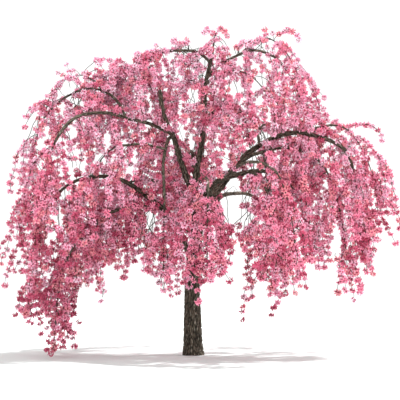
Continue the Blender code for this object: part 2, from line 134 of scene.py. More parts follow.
# Room that a string or spray keeps to everything else. A limb counts as straight rods of a few
# steps each, and a new rod is tested at a few points along it. The smallest square keeps a rod of no
# length from a division by nothing.
CLEARANCE = 0.006
ROD_STEPS = 4
ROD_TESTS = 7
SMALLEST_SQUARE = 1e-12

# Where a way is too near an axis to turn by it, and another axis takes its place
NEARLY_ALONG = 0.1
NEARLY_UPRIGHT = 0.9

# The kinds of the values that meshes keep at their points
STORED = {"bark_place": "FLOAT_VECTOR", "outward": "FLOAT_VECTOR", "girth": "FLOAT", "kind": "INT",
          "turn": "FLOAT_VECTOR", "size": "FLOAT"}

# The trunk's and boughs' meshes: their rings and sides, how far up and down the trunk's rows are
# evened out, and how far the boughs' bark stands out from their solids
TRUNK_FINE_RINGS = 200
TRUNK_FINE_SIDES = 96
TRUNK_EASE = 0.06
TRUNK_EASE_STEPS = 13
BOUGH_STEP = 0.016
THICK_GIRTH = 0.02
THICK_SIDES = 24
THIN_SIDES = 16
BARK_THICKNESS = 0.005

# A bough's collar at its parent, and its knots, each a share of its girth over a wave in metres
COLLAR = 0.4
COLLAR_REACH = 1.3
KNOTS = ((0.06, 0.035), (0.05, 0.014))
KNOTS_FROM = 0.1

# The bark of boughs beside the trunk's: shares of the trunk's sizes, and of a bough's girth
BOUGH_PLATE_WIDTH = 0.5
BOUGH_PLATE_LENGTH = 0.7
BOUGH_FURROW_DEPTH = 0.45
BOUGH_DEPTH_SHARE = 0.16
BOUGH_FLECK_WIDTH = 0.73

# The pattern of bark, measured in plates: how far their edges stray, in how many waves to a plate, how
# uneven the plates are, how wide a furrow's slope is, and how deep and how fine their own grain is
EDGE_STRAY = 2.0
EDGE_WAVES = 0.9
PLATE_STRAY = 0.9
FURROW_SLOPE = 0.26
GRAIN_DEPTH = 0.9
GRAIN_WAVES = 3.2

# The colours of bark: the height of relief from which a plate is free of the furrows' painted shade, how
# much longer than wide a fleck is, where in the noise flecks start and are full, and how much they cover
SHADE_FREE_HEIGHT = 1.25
FLECK_STRETCH = 3
FLECK_LIMITS = (0.52, 0.68)
FLECK_COVER = 0.75

# How rough bark is, how weakly bark and other surfaces shine, and where in the noise mottles change
BARK_ROUGHNESS = 0.92
BARK_SPECULAR = 0.3
PLAIN_SPECULAR = 0.25
MOTTLE_LIMITS = (0.35, 0.65)

# Finer twigs: their sway, the fewest points of one, the sides and steps of the tubes of stems and of
# strings, and their radii, up to twice the real ones so that they show as in the photo. Side twigs
# leave where the solids have sprays. All are drawn over to their parent along a first share.
TWIG_SWAY = 0.010
SWAY_LENGTHS = (0.62, 0.27)
SWAY_FROM = 0.25
FEWEST_POINTS = 3
STEM_TUBE = (6, 0.020)
STRING_TUBE = (4, 0.035)
STEM_TIP = 0.0036
STRING_GIRTH = 0.0038
STRING_TIP = 0.0026
SIDE_GIRTH = 0.0026
SIDE_TIP = 0.0019
SIDE_LENGTHS = (0.85, 1.45)
SIDE_STEEPEST = -35
SIDE_DROOP = -84
SIDE_BEND = 0.8
CREST_DROOP = -35
CREST_LENGTHS = (0.5, 0.9)
ATTACH_SHARE = 0.12

# Strings that only the looks have: how many hang from a stem, how far apart they leave a bough, how
# raggedly, and how soon they droop. One that is cut to fewer points than the least is left out.
EXTRA_STRINGS = 8
MORE_STRINGS = {
    "crest_left": 34, "left_leader": 26, "low_left_drop": 26, "left_arch": 16, "lower_right_front": 15,
    "front_middle": 15, "back_crest": 14, "lower_left": 14, "lower_left_back": 12, "right_drop": 12,
    "right_rise": 11, "right_arch": 11, "middle_right": 10, "centre_front": 10, "back_left": 10,
    "left_inner": 10, "crest_right": 10, "centre_leader": 3, "left_crest": 3}
STEP_STRAY = (0.2, 0.8)
EXTRA_LEAST = 13
EXTRA_BEND = 0.29
WIDER_BENDS = {"low_left_drop": 0.6, "lower_left": 0.42, "right_drop": 0.5, "lower_right_front": 0.4}
EXTRA_LENGTHS = (0.45, 0.95)
EXTRA_FAN = (20, 160)
BOUGH_STRING_STEP = 0.068
CLOSER_STEPS = {"crest_left": 0.022, "low_left_drop": 0.034, "centre_front": 0.035}
BOUGH_STRING_FROM = 0.15
BOUGH_STRING_LENGTHS = (0.35, 0.85)

# High in the crown this share of the strings are short and arch outwards
HIGH_FROM = 2.25
ARCHING_SHARE = 0.5
ARCHING_LENGTHS = (0.25, 0.55)
ARCHING_LIFT = (15, 65)
ARCHING_DROOP = -70
ARCHING_BEND = 0.8

# Short twigs that rise from a limb or stem and arch over a little, and how steep that may be
UPRIGHT_STEP = 0.085
UPRIGHT_LENGTHS = (0.06, 0.17)
UPRIGHT_RISE = (40, 78)
UPRIGHT_END = (0, 45)
UPRIGHT_BEND = 1.0
UPRIGHT_FAN = (20, 150)
UPRIGHT_SLOPES = (-48, 86)
UPRIGHT_FROM = 0.15

# Boughs that stay bare of strings over a longer first share, where the tree is open
BARE_SHARES = {"right_arch": 0.46, "lower_right": 0.5, "front_right": 0.75, "back_right": 0.75,
               "middle_right": 0.35, "left_leader": 0.3, "centre_leader": 0.12, "lower_left": 0.4,
               "back_crest": 0.55, "right_drop": 0.7, "lower_right_front": 0.7, "crest_right": 0.25,
               "right_rise": 0.45, "left_crest": 0.9, "low_left_drop": 0.2}

# The lowest height of strings from a bough whose own mass ends far above them
LOWER_HEMS = {"left_leader": 1.55, "centre_leader": 1.50, "crest_left": 1.9, "crest_right": 1.6,
              "back_crest": 1.6, "left_crest": 1.6, "low_left_drop": 0.28, "middle_right": 0.5,
              "right_drop": 0.42, "lower_left_back": 0.5, "lower_right_front": 0.5, "centre_front": 1.45}

# Seen from the front, from this eye, no flowers stand before these stretches of limb, given as shares
# of its length, nor in these gaps of sky, given as x and z of their middles in the trunk's plane and
# half their width and height. Twigs end where they reach a gap whose middle is below LOW_GAP. A
# stretch is as wide as its limb and a margin, and is looked at in short steps.
LOW_GAP = 1.25
FRONT_EYE = (0.07, -8.0, 0.6)
OPEN_MARGIN = 0.018
OPEN_STEP = 0.02
OPEN_STRETCHES = (
    ("left_arch", 0.03, 0.90), ("left_upper_arch", 0.0, 0.35), ("left_upper_arch", 0.42, 0.70),
    ("left_leader", 0.20, 0.58), ("left_leader", 0.70, 0.95), ("centre_leader", 0.12, 0.42),
    ("centre_leader", 0.62, 0.68), ("centre_leader", 0.76, 0.92), ("crest_left", 0.10, 0.35),
    ("crest_left", 0.45, 1.0), ("crest_right", 0.25, 0.50), ("crest_right", 0.56, 0.85),
    ("front_left_drop", 0.0, 1.0), ("left_inner", 0.30, 0.95), ("lower_left", 0.44, 0.60),
    ("lower_left", 0.68, 0.78), ("low_left_drop", 0.75, 0.85), ("right_arch", 0.12, 0.27),
    ("right_arch", 0.33, 0.45), ("right_arch", 0.52, 0.74), ("right_arch", 0.80, 0.92),
    ("middle_right", 0.20, 0.55), ("lower_right", 0.15, 0.42), ("lower_right", 0.52, 0.80),
    ("right_drop", 0.0, 1.0), ("far_right", 0.60, 1.0), ("right_rise", 0.0, 0.25),
    ("right_rise", 0.5, 0.8))
SKY_GAPS = (
    (0.38, 3.22, 0.11, 0.06), (0.55, 3.29, 0.07, 0.07), (-1.30, 2.73, 0.10, 0.09),
    (-0.02, 2.65, 0.06, 0.10), (0.07, 2.85, 0.04, 0.05), (0.03, 3.20, 0.09, 0.07), (0.42, 2.73, 0.06, 0.07),
    (0.68, 2.81, 0.08, 0.09), (0.72, 2.23, 0.05, 0.05), (-0.13, 2.25, 0.05, 0.07),
    (-0.01, 2.10, 0.05, 0.10), (0.31, 1.99, 0.06, 0.04), (0.64, 1.97, 0.05, 0.06), (0.39, 1.51, 0.10, 0.21),
    (-1.26, 2.24, 0.05, 0.07), (-0.92, 1.97, 0.04, 0.07), (-1.32, 1.65, 0.05, 0.05),
    (-0.44, 1.34, 0.06, 0.13), (-1.68, 2.26, 0.05, 0.07), (-1.20, 1.93, 0.05, 0.06),
    (-1.35, 1.36, 0.05, 0.09), (-1.12, 3.02, 0.10, 0.07), (1.82, 1.89, 0.04, 0.04),
    (0.43, 0.79, 0.06, 0.23), (1.46, 1.18, 0.06, 0.15), (1.20, 0.82, 0.07, 0.13), (0.10, 3.04, 0.06, 0.08),
    (-0.87, 0.81, 0.05, 0.13), (-1.21, 2.59, 0.08, 0.06), (-1.75, 0.78, 0.10, 0.06),
    (0.54, 1.38, 0.07, 0.10), (0.46, 1.03, 0.06, 0.14), (-1.73, 0.36, 0.06, 0.09),
    (-0.08, 3.14, 0.06, 0.07), (-0.61, 0.86, 0.05, 0.08), (-1.66, 2.38, 0.06, 0.08),
    (0.55, 1.60, 0.08, 0.06), (0.67, 0.72, 0.06, 0.06), (0.45, 3.11, 0.06, 0.06), (0.70, 3.18, 0.05, 0.05),
    (-0.48, 0.66, 0.14, 0.18))

# Flowers: clusters stand along the twigs, wider apart towards their tips, and clear of the ground.
# On the thin outer parts of boughs they stand by themselves, a little off the bark.
CLUSTER_KINDS = 12
CLUSTER_FLOWERS = (4, 6)
CLUSTER_SPACING = (0.048, 0.080)
TIP_SPACING = 1.3
TIP_POWER = 3
CLUSTER_SIZES = (0.85, 1.15)
CLUSTER_TILT = 22
CLUSTER_LOWEST = 0.06
FIRST_CLUSTER = 0.05
BARE_GIRTH = 0.011
BOUGH_CLUSTER_FROM = 0.3
BOUGH_CLUSTER_STEP = 0.075
BOUGH_CLUSTER_LEAN = (-60, 60)
BOUGH_CLUSTER_GAP = 0.012

# Flowers in a cluster: how they rise from the spur, how far they stray, their stalks and the bud
FLOWER_RISE = (-50, 35)
FLOWER_SAG = 0.25
FLOWER_SIZES = (0.9, 1.1)
FACING_STRAY = 0.35
STALK_LENGTHS = (0.7, 1.3)
STALK_GIRTH = 0.0026
BUD_LENGTH = 0.016
BUD_WIDTH = 0.009
BUD_WAIST = 0.45
BUD_LEAN = -35

# Petals of an outer and an inner ring: length as a share of the flower's radius, width as a share of
# that length, and lift. Then how much they vary, and the cup and outline of each.
PETALS = 5
OUTER_RING = (1.12, 0.50, 14)
INNER_RING = (0.66, 0.62, 48)
PETAL_LENGTHS = (0.86, 1.12)
PETAL_LIFTS = (-18, 22)
PETAL_STRAY = 0.15
PETAL_CUP = 0.16
PETAL_FOOT = 0.08
PETAL_WIDEST = 0.62
PETAL_TIP = 0.42

# The heart of a flower, as shares of its radius
HEART_WIDTH = 0.42
HEART_HEIGHT = 0.34

# Petal colours: how strongly patches of the crown lean one way and how large they are, how much paler
# sprays get per metre upwards as painted light, with low hems deeper as painted shade, how far each strays,
# and where one colour gives way to the next. A rare share of the sprays takes the warm colour. All petals
# have the same soft mottle.
PATCH_LEAN = 1.0
PATCH_SIZE = 0.35
HEIGHT_PAINTED_LIGHT = 0.45
CROWN_MIDDLE = 1.7
TINT_STRAY = 0.8
OUTER_LIMITS = (-0.75, 0.0, 0.8)
INNER_LIMITS = (-0.4, 0.5)
RARE_SHARE = 0.15
RARE_TINT = 4
OUTER_TINTS = ("outer_deep", "outer_rose", "outer_bright", "outer_pale", "outer_warm")
INNER_TINTS = ("inner_deep", "inner_rose", "inner_bright")
PETAL_MOTTLE = {"dark_share": 0.86, "patch": 0.018, "roughness": 0.5}
CLUSTER_PARTS = ("outer petals", "inner petals", "hearts", "stalks")

# The stage
FLOOR_REACH = 150.0
SENSOR_WIDTH = 36.0

Limb = namedtuple("Limb", "name parent at azimuth turn rise droop bend length girth tip")
Mass = namedtuple("Mass", "bough droop bend length strings fan hem reach")

# at: share of the parent's length where the limb leaves it. turn: how far the azimuth swings.
# bend: below 1 the limb droops early, above 1 late. girth and tip: radius at its two ends.
LIMBS = (
    Limb("left_leader", "trunk", 0.94, 182, -6, 54, 78, 0.45, 1.20, 0.040, 0.014),
    Limb("centre_leader", "trunk", 0.94, 10, -10, 88, 82, 0.6, 1.53, 0.034, 0.012),
    Limb("left_arch", "left_leader", 0.56, 200, 16, 22, -55, 1.8, 1.34, 0.024, 0.012),
    Limb("left_upper_arch", "left_arch", 0.40, 160, 10, 82, -60, 0.80, 1.15, 0.015, 0.007),
    Limb("left_crest", "left_upper_arch", 0.36, 150, 20, 58, 22, 1.0, 0.27, 0.009, 0.006),
    Limb("front_left_drop", "left_leader", 0.54, 245, 45, 12, -86, 0.35, 0.92, 0.020, 0.009),
    Limb("left_inner", "front_left_drop", 0.32, 212, -8, 12, -14, 1.0, 0.50, 0.013, 0.008),
    Limb("lower_left", "trunk", 0.53, 184, -4, 72, -50, 1.5, 1.95, 0.034, 0.010),
    Limb("low_left_drop", "lower_left", 0.36, 203, -15, -3, -80, 1.3, 1.29, 0.024, 0.012),
    Limb("lower_left_back", "lower_left", 0.42, 140, 20, 30, -35, 1.0, 0.80, 0.014, 0.006),
    Limb("crest_left", "centre_leader", 0.91, 176, 10, 65, -12, 0.70, 0.42, 0.016, 0.009),
    Limb("crest_right", "centre_leader", 0.79, 350, -6, 58, -52, 1.15, 0.98, 0.018, 0.009),
    Limb("crest_right_back", "crest_right", 0.50, 28, -10, 58, 4, 1.0, 0.39, 0.010, 0.006),
    Limb("right_inner", "centre_leader", 0.76, 318, 8, 24, -12, 1.2, 0.46, 0.012, 0.006),
    Limb("centre_front", "centre_leader", 0.42, 298, 10, 58, 5, 1.0, 0.50, 0.014, 0.006),
    Limb("right_arch", "trunk", 0.83, 354, -8, 51, -84, 2.5, 2.04, 0.044, 0.011),
    Limb("far_right", "right_arch", 0.70, 6, 0, 37, -15, 1.0, 0.42, 0.014, 0.006),
    Limb("far_right_back", "right_arch", 0.80, 62, 0, 44, -5, 1.0, 0.36, 0.010, 0.006),
    Limb("lower_right", "trunk", 0.86, 330, 20, 60, -38, 1.1, 1.10, 0.036, 0.010),
    Limb("middle_right", "lower_right", 0.45, 342, 6, 60, -50, 0.95, 1.10, 0.026, 0.010),
    Limb("right_drop", "middle_right", 0.37, 305, 0, -55, -86, 0.4, 0.42, 0.013, 0.008),
    Limb("lower_right_front", "lower_right", 0.48, 302, 0, 14, -60, 1.0, 0.62, 0.012, 0.006),
    Limb("right_rise", "right_arch", 0.46, 110, -80, 66, 0, 1.0, 0.58, 0.013, 0.006),
    Limb("front_right", "trunk", 0.72, 303, 2, 66, -35, 1.15, 1.55, 0.021, 0.007),
    Limb("front_middle", "trunk", 0.78, 276, 0, 66, -50, 1.1, 1.15, 0.020, 0.008),
    Limb("back_left", "trunk", 0.76, 132, 8, 66, -50, 1.1, 1.75, 0.026, 0.008),
    Limb("back_middle", "trunk", 0.88, 99, 0, 74, -40, 1.3, 1.50, 0.024, 0.008),
    Limb("back_right", "trunk", 0.68, 48, 4, 64, -50, 1.1, 1.8, 0.026, 0.008),
    Limb("back_crest", "centre_leader", 0.7, 112, 10, 66, -35, 0.8, 0.8, 0.015, 0.007),
)

# droop, bend and length: those of the mass's stem. fan: how far strings leave to its sides.
# hem: height of the lowest blossom. reach: how far the mass spreads level from its stem.
MASSES = (
    Mass("left_leader", -75, 0.7, 1.00, 5, 60, 2.20, 0.48),
    Mass("centre_leader", 82, 1.0, 0.20, 4, 40, 2.80, 0.30),
    Mass("left_arch", -88, 0.45, 0.75, 4, 60, 1.20, 0.46),
    Mass("left_upper_arch", -89, 0.32, 0.95, 4, 50, 0.85, 0.28),
    Mass("left_crest", -84, 0.6, 0.62, 4, 60, 2.10, 0.40),
    Mass("front_left_drop", -88, 0.40, 0.80, 4, 70, 0.72, 0.44),
    Mass("left_inner", -88, 0.40, 0.90, 4, 60, 0.86, 0.44),
    Mass("lower_left", -88, 0.40, 1.10, 5, 60, 0.22, 0.48),
    Mass("low_left_drop", -88, 0.30, 0.72, 5, 85, 0.04, 0.32),
    Mass("lower_left_back", -88, 0.40, 0.90, 4, 60, 0.74, 0.48),
    Mass("crest_left", -84, 1.0, 1.15, 5, 60, 2.30, 0.44),
    Mass("crest_right", -86, 0.60, 1.05, 5, 60, 1.75, 0.44),
    Mass("crest_right_back", -86, 0.5, 0.82, 5, 60, 2.20, 0.34),
    Mass("right_inner", -88, 0.7, 0.8, 4, 60, 1.9, 0.44),
    Mass("centre_front", -88, 0.6, 0.72, 4, 60, 1.72, 0.44),
    Mass("right_arch", -88, 0.35, 1.05, 5, 60, 0.95, 0.4),
    Mass("far_right", -89, 0.42, 0.95, 4, 60, 1.28, 0.3),
    Mass("far_right_back", -88, 0.5, 1.10, 4, 60, 0.95, 0.28),
    Mass("lower_right", -88, 0.40, 1.00, 5, 60, 0.74, 0.46),
    Mass("middle_right", -88, 0.40, 1.00, 4, 60, 0.70, 0.46),
    Mass("right_drop", -88, 0.40, 0.85, 4, 60, 0.40, 0.30),
    Mass("lower_right_front", -88, 0.40, 0.85, 4, 60, 0.80, 0.36),
    Mass("right_rise", -87, 0.60, 0.85, 4, 60, 1.50, 0.46),
    Mass("front_right", -88, 0.40, 0.92, 5, 70, 0.85, 0.46),
    Mass("front_middle", -88, 0.40, 0.85, 6, 75, 0.72, 0.46),
    Mass("back_left", -88, 0.45, 0.95, 5, 70, 0.93, 0.5),
    Mass("back_middle", -88, 0.45, 1.00, 5, 70, 0.8, 0.5),
    Mass("back_right", -88, 0.45, 1.00, 5, 70, 0.76, 0.5),
    Mass("back_crest", -88, 0.50, 0.90, 5, 70, 1.85, 0.52),
)


# The growth rule of the solids


def heading(azimuth, elevation):
    """The unit vector that points this way."""
    level = math.cos(math.radians(elevation))
    across = level * math.cos(math.radians(azimuth))
    away = level * math.sin(math.radians(azimuth))
    return np.array([across, away, math.sin(math.radians(elevation))])


def bearing(direction):
    """The azimuth and elevation of a unit vector."""
    azimuth = math.degrees(math.atan2(direction[1], direction[0]))
    return azimuth, math.degrees(math.asin(max(-1.0, min(1.0, direction[2]))))


def along(path, share):
    """The point at this share of a path of even steps."""
    place = share * (len(path) - 1)
    index = min(int(place), len(path) - 2)
    return path[index] + (path[index + 1] - path[index]) * (place - index)


def tangents(points):
    """The way on at each of these points, from its neighbours."""
    last = len(points) - 1
    return [points[min(i + 1, last)] - points[max(i - 1, 0)] for i in range(last + 1)]


def unit(run):
    return run / np.linalg.norm(run)


def bearing_at(path, share):
    """The azimuth and elevation of a path's way on at this share of it."""
    return bearing(unit(along(tangents(path), share)))


def two_waves(t, waves, phases):
    return math.sin(waves[0] * t + phases[0]) + FAST_WAVE_SHARE * math.sin(waves[1] * t + phases[1])


def grow_path(start, azimuth, turn, rise, droop, bend, length, wander, phases):
    """A path of even steps whose elevation eases from rise to droop, with a wander of a few degrees."""
    points = [np.array(start, dtype=float)]
    for i in range(PATH_STEPS):
        t = (i + 0.5) / PATH_STEPS
        swing = wander * min(1.0, t / WANDER_FROM)
        sway = swing * two_waves(t, SWAY_WAVES, phases[:2])
        nod = swing * two_waves(t, NOD_WAVES, phases[2:])
        elevation = rise + (droop - rise) * t ** bend + nod
        direction = heading(azimuth + turn * t + sway, elevation)
        points.append(points[-1] + direction * length / PATH_STEPS)
    return points


def wander_phases(rng):
    return [rng.uniform(0, math.tau) for _ in range(4)]


def value_at(rows, height):
    return float(np.interp(height, [row[0] for row in rows], [row[1] for row in rows]))


def trunk_path():
    """The trunk's middle line and radii, without its flare."""
    heights = np.linspace(0.0, TRUNK_HEIGHT, PATH_STEPS + 1)
    points = [np.array([value_at(TRUNK_LEAN, z), 0.0, z]) for z in heights]
    return points, [value_at(TRUNK_RADIUS, z) for z in heights]


def limb_path(limb, start, thickest):
    phases = wander_phases(random.Random(limb.name))
    points = grow_path(start, limb.azimuth, limb.turn, limb.rise, limb.droop, limb.bend,
                       limb.length, WANDER, phases)
    girth = min(limb.girth, thickest)
    shares = np.linspace(0.0, 1.0, PATH_STEPS + 1)
    return points, [girth + (limb.tip - girth) * t ** TAPER_EASE for t in shares]


def grow_limbs():
    """Each limb's middle line and radii by name, the trunk first."""
    limbs = {"trunk": trunk_path()}
    for limb in LIMBS:
        points, radii = limbs[limb.parent]
        thickest = GIRTH_SHARE * along(radii, limb.at)
        limbs[limb.name] = limb_path(limb, along(points, limb.at), thickest)
    return limbs


class Room:
    """The room already taken, as straight rods that each have a radius and an owner."""

    def __init__(self):
        self.starts = np.empty((0, 3))
        self.ends = np.empty((0, 3))
        self.radii = np.empty(0)
        self.owners = np.empty(0, dtype=object)

    def take(self, start, end, radius, owner):
        self.starts = np.vstack([self.starts, start])
        self.ends = np.vstack([self.ends, end])
        self.radii = np.append(self.radii, radius)
        self.owners = np.append(self.owners, owner)

    def is_free(self, start, end, radius, owners):
        """Whether a rod keeps its clearance to every rod that isn't one of these owners'."""
        others = ~np.isin(self.owners, owners)
        starts = self.starts[others]
        runs = self.ends[others] - starts
        squares = np.maximum((runs * runs).sum(axis=1), SMALLEST_SQUARE)
        room = self.radii[others] + radius + CLEARANCE
        for share in np.linspace(0.0, 1.0, ROD_TESTS):
            point = start + (end - start) * share
            foot = np.clip(((point - starts) * runs).sum(axis=1) / squares, 0.0, 1.0)
            distance = np.linalg.norm(starts + runs * foot[:, None] - point, axis=1)
            if (distance < room).any():
                return False
        return True


def take_limbs(limbs):
    room = Room()
    for name, (points, radii) in limbs.items():
        for i in range(0, PATH_STEPS, ROD_STEPS):
            room.take(points[i], points[i + ROD_STEPS], radii[i], name)
    return room


def ring_shares(rings, crowd):
    """Shares of a path for its rings, crowded towards its start, where it bends most."""
    return [(k / (rings - 1)) ** crowd for k in range(rings)]


def kept_steps(kept, rings, crowd):
    """How many points of the fine path lie on the rings that were kept."""
    return round(ring_shares(rings, crowd)[len(kept) - 1] * PATH_STEPS) + 1


def spread_from(point, line):
    """How far the point is, level, from the nearest point of the line."""
    return min(np.linalg.norm((point - other)[:2]) for other in line)


def free_length(rings, lowest, reach, stem, room, owners):
    """The rings of a twig as far as it stays free, above the lowest height and within reach."""
    kept = [rings[0]]
    for start, end in zip(rings, rings[1:]):
        if end[2] < lowest or spread_from(end, stem) > reach:
            break
        if not room.is_free(start, end, TWIG_RADIUS, owners):
            break
        kept.append(end)
    return kept


def grow_stem(mass, limbs, room):
    """The stem's rings, which go on from the bough's tip, and its fine path."""
    points, _ = limbs[mass.bough]
    out = unit(points[-1] - points[-2])
    azimuth, elevation = bearing(out)
    path = grow_path(points[-1] + out * GAP, azimuth, 0, elevation, mass.droop, mass.bend,
                     mass.length, 0.0, wander_phases(random.Random(mass.bough)))
    rings = [along(path, share) for share in ring_shares(STEM_RINGS, 1.0)]
    kept = rings[:1] + free_length(rings[1:], mass.hem, mass.reach, rings, room, [mass.bough])
    return kept, path[:kept_steps(kept, STEM_RINGS, 1.0)]


def grow_string(mass, stem, index, room, rng):
    """The best of a few tries at a string that leaves the stem to one side and hangs to the hem."""
    share = (index + STRING_FIRST) / (mass.strings + STRING_SPARE)
    start = along(stem, share)
    azimuth, _ = bearing_at(stem, share)
    side = 1 if index % 2 else -1
    own = [twig_name(mass, 0), spray_name(mass)]
    best, fine = [], None
    for _ in range(STRING_TRIES):
        leave = azimuth + side * mass.fan * rng.uniform(*STRING_FAN)
        lift = rng.uniform(*STRING_LIFT)
        length = max(SHORTEST_STRING, start[2] - mass.hem - rng.uniform(0.0, HEM_RAGGED))
        path = grow_path(start, leave, 0, lift, STRING_DROOP, STRING_BEND, length, STRING_WANDER,
                         wander_phases(rng))
        rings = [along(path, share) for share in ring_shares(STRING_RINGS, STRING_CROWD)]
        rings = free_length(rings, mass.hem, mass.reach, stem, room, own)
        if len(rings) > len(best):
            best, fine = rings, path
        if len(best) == STRING_RINGS:
            break
    if len(best) < FEWEST_RINGS:
        return None, None
    return best, fine[:kept_steps(best, STRING_RINGS, STRING_CROWD)]


def grow_sprays(rings, index, mass, stem, room, rng, crest):
    """Sprays along one twig from its end upwards, clear of all but it: its number, roots and tips.

    Those of the crest stand up from where the twig runs level, and the others hang from where it hangs.
    """
    runs = [b - a for a, b in zip(rings, rings[1:])]
    lengths = [np.linalg.norm(run) for run in runs]
    places = np.concatenate([[0.0], np.cumsum(lengths)])
    spin = rng.uniform(0, 360)
    found = []
    for n in range(int(places[-1] / SPRAY_STEP)):
        place = places[-1] - SPRAY_FROM_END - n * SPRAY_STEP
        at = np.searchsorted(places, place) - 1
        is_level = runs[at][2] / lengths[at] > HANGING
        if is_level != crest:
            continue
        root = rings[at] + runs[at] * (place - places[at]) / lengths[at]
        size = rng.uniform(*SPRAY_SIZES)
        radius = SPRAY_WIDTH * size / 2
        for _ in range(SPRAY_TRIES):
            spin += GOLDEN_ANGLE
            lean = rng.uniform(*(CREST_LEAN if crest else HANGING_LEAN))
            tip = root + SPRAY_LENGTH * size * heading(spin, lean)
            waist = root + (tip - root) * SPRAY_WAIST
            if spread_from(tip, stem) > mass.reach + SPRAY_WIDTH or tip[2] < LOWEST:
                continue
            if room.is_free(waist, tip, radius, [twig_name(mass, index)]):
                room.take(waist, tip, radius, spray_name(mass))
                found.append((index, root, tip))
                break
    return found


def twig_name(mass, index):
    """The name under which a mass's twigs take their room. Twig 0 is the stem."""
    return f"{mass.bough} twig {index}"


def spray_name(mass):
    """The name under which a mass's sprays take their room."""
    return mass.bough + " sprays"


def take_twig(rings, room, owner):
    for start, end in zip(rings, rings[1:]):
        room.take(start, end, TWIG_RADIUS, owner)


def grow_masses(limbs):
    """Each mass's fine paths, its stem first, and its sprays.

    All stems grow first, then the sprays that crown their arches, then all strings, and last the
    sprays that hang.
    """
    room = take_limbs(limbs)
    twigs, paths, sprays = {}, {}, {}
    for mass in MASSES:
        stem, path = grow_stem(mass, limbs, room)
        twigs[mass.bough] = [stem]
        paths[mass.bough] = [path]
        take_twig(stem, room, twig_name(mass, 0))
    for mass in MASSES:
        rng = random.Random(mass.bough + " crest")
        stem = twigs[mass.bough][0]
        sprays[mass.bough] = grow_sprays(stem, 0, mass, stem, room, rng, True)
    for mass in MASSES:
        rng = random.Random(mass.bough + " strings")
        found = twigs[mass.bough]
        for index in range(mass.strings):
            string, path = grow_string(mass, found[0], index, room, rng)
            if string:
                take_twig(string, room, twig_name(mass, len(found)))
                found.append(string)
                paths[mass.bough].append(path)
    for mass in MASSES:
        rng = random.Random(mass.bough + " sprays")
        found = twigs[mass.bough]
        for index, rings in enumerate(found):
            sprays[mass.bough] += grow_sprays(rings, index, mass, found[0], room, rng, False)
    return paths, sprays


# Finer growth, which only the looks have


Twig = namedtuple("Twig", "path girth tip")


def sway_of(length, rng, count):
    """Small level offsets along a hanging twig, in two waves that start from nothing."""
    shares = np.linspace(0.0, 1.0, count)
    offsets = np.zeros((count, 3))
    for axis in (0, 1):
        for wave in SWAY_LENGTHS:
            turns = math.tau * length / wave
            offsets[:, axis] += TWIG_SWAY * np.sin(turns * shares + rng.uniform(0, math.tau))
    return (offsets - offsets[0]) * np.minimum(1.0, shares / SWAY_FROM)[:, None]


def attached(path, parent):
    """The path with its first stretch drawn over to the nearest point of the twig it springs from."""
    parent = np.array(parent)
    path = np.array(path)
    nearest = parent[np.argmin(np.linalg.norm(parent - path[0], axis=1))]
    ease = np.maximum(0.0, 1.0 - np.linspace(0.0, 1.0, len(path)) / ATTACH_SHARE) ** 2
    return path + (nearest - path[0]) * ease[:, None]


def hanging_path(start, azimuth, lift, droop, bend, length, rng):
    """A finer twig's path, which leaves at a lift and eases to a droop, with a small sway."""
    path = grow_path(start, azimuth, 0, lift, droop, bend, length, STRING_WANDER, wander_phases(rng))
    return np.array(path) + sway_of(length, rng, PATH_STEPS + 1)


def kept_until(path, ended):
    """The path up to its first point at which it has ended."""
    reached = np.nonzero(ended)[0]
    return path if len(reached) == 0 else path[:reached[0]]


def kept_above(path, lowest):
    return kept_until(path, path[:, 2] < lowest)


def seen(places):
    """Where places are seen from the front, carried over to the upright plane through the trunk."""
    shares = FRONT_EYE[1] / (FRONT_EYE[1] - places[:, 1])
    return np.column_stack([FRONT_EYE[k] + (places[:, k] - FRONT_EYE[k]) * shares for k in (0, 2)])


def in_gaps(places, gaps):
    """Which places are seen in one of these gaps of sky."""
    spots = seen(places)
    found = np.zeros(len(places), dtype=bool)
    for x, z, wide, high in gaps:
        found |= ((spots - (x, z)) ** 2 / (wide ** 2, high ** 2)).sum(axis=1) < 1.0
    return found


def kept_from_gaps(path):
    """The path up to where it reaches a low gap of sky."""
    return kept_until(path, in_gaps(path, [gap for gap in SKY_GAPS if gap[1] < LOW_GAP]))


def path_length(path):
    return float(np.linalg.norm(np.diff(path, axis=0), axis=1).sum())


def side_twig(parent, root, tip, rng):
    """A finer twig that leaves its parent as a spray of the solids does, and then hangs."""
    run = tip - root
    azimuth, elevation = bearing(unit(run))
    crest = elevation > CREST_LEAN[0]
    length = np.linalg.norm(run) * rng.uniform(*(CREST_LENGTHS if crest else SIDE_LENGTHS))
    droop = CREST_DROOP if crest else SIDE_DROOP
    path = hanging_path(root, azimuth, max(elevation, SIDE_STEEPEST), droop, SIDE_BEND, length, rng)
    return Twig(kept_above(attached(path, parent), CLUSTER_LOWEST), SIDE_GIRTH, SIDE_TIP)


def extra_string(parent, share, side, lengths, hem, bend, rng):
    """A string that leaves its parent to one side and hangs part of the way to the hem."""
    start = along(parent, share)
    leave = bearing_at(parent, share)[0] + side * rng.uniform(*EXTRA_FAN)
    if start[2] > HIGH_FROM and rng.random() < ARCHING_SHARE:
        return hanging_path(start, leave, rng.uniform(*ARCHING_LIFT), ARCHING_DROOP, ARCHING_BEND,
                            rng.uniform(*ARCHING_LENGTHS), rng)
    length = max(SHORTEST_STRING, (start[2] - hem) * rng.uniform(*lengths))
    return hanging_path(start, leave, rng.uniform(*STRING_LIFT), STRING_DROOP, bend, length, rng)


def ragged_steps(first, count, rng):
    """Places along a path beyond its first share, as shares of it, each with the side to leave by."""
    for n in range(count):
        yield first + (n + rng.uniform(*STEP_STRAY)) * (1 - first) / count, 1 if n % 2 else -1


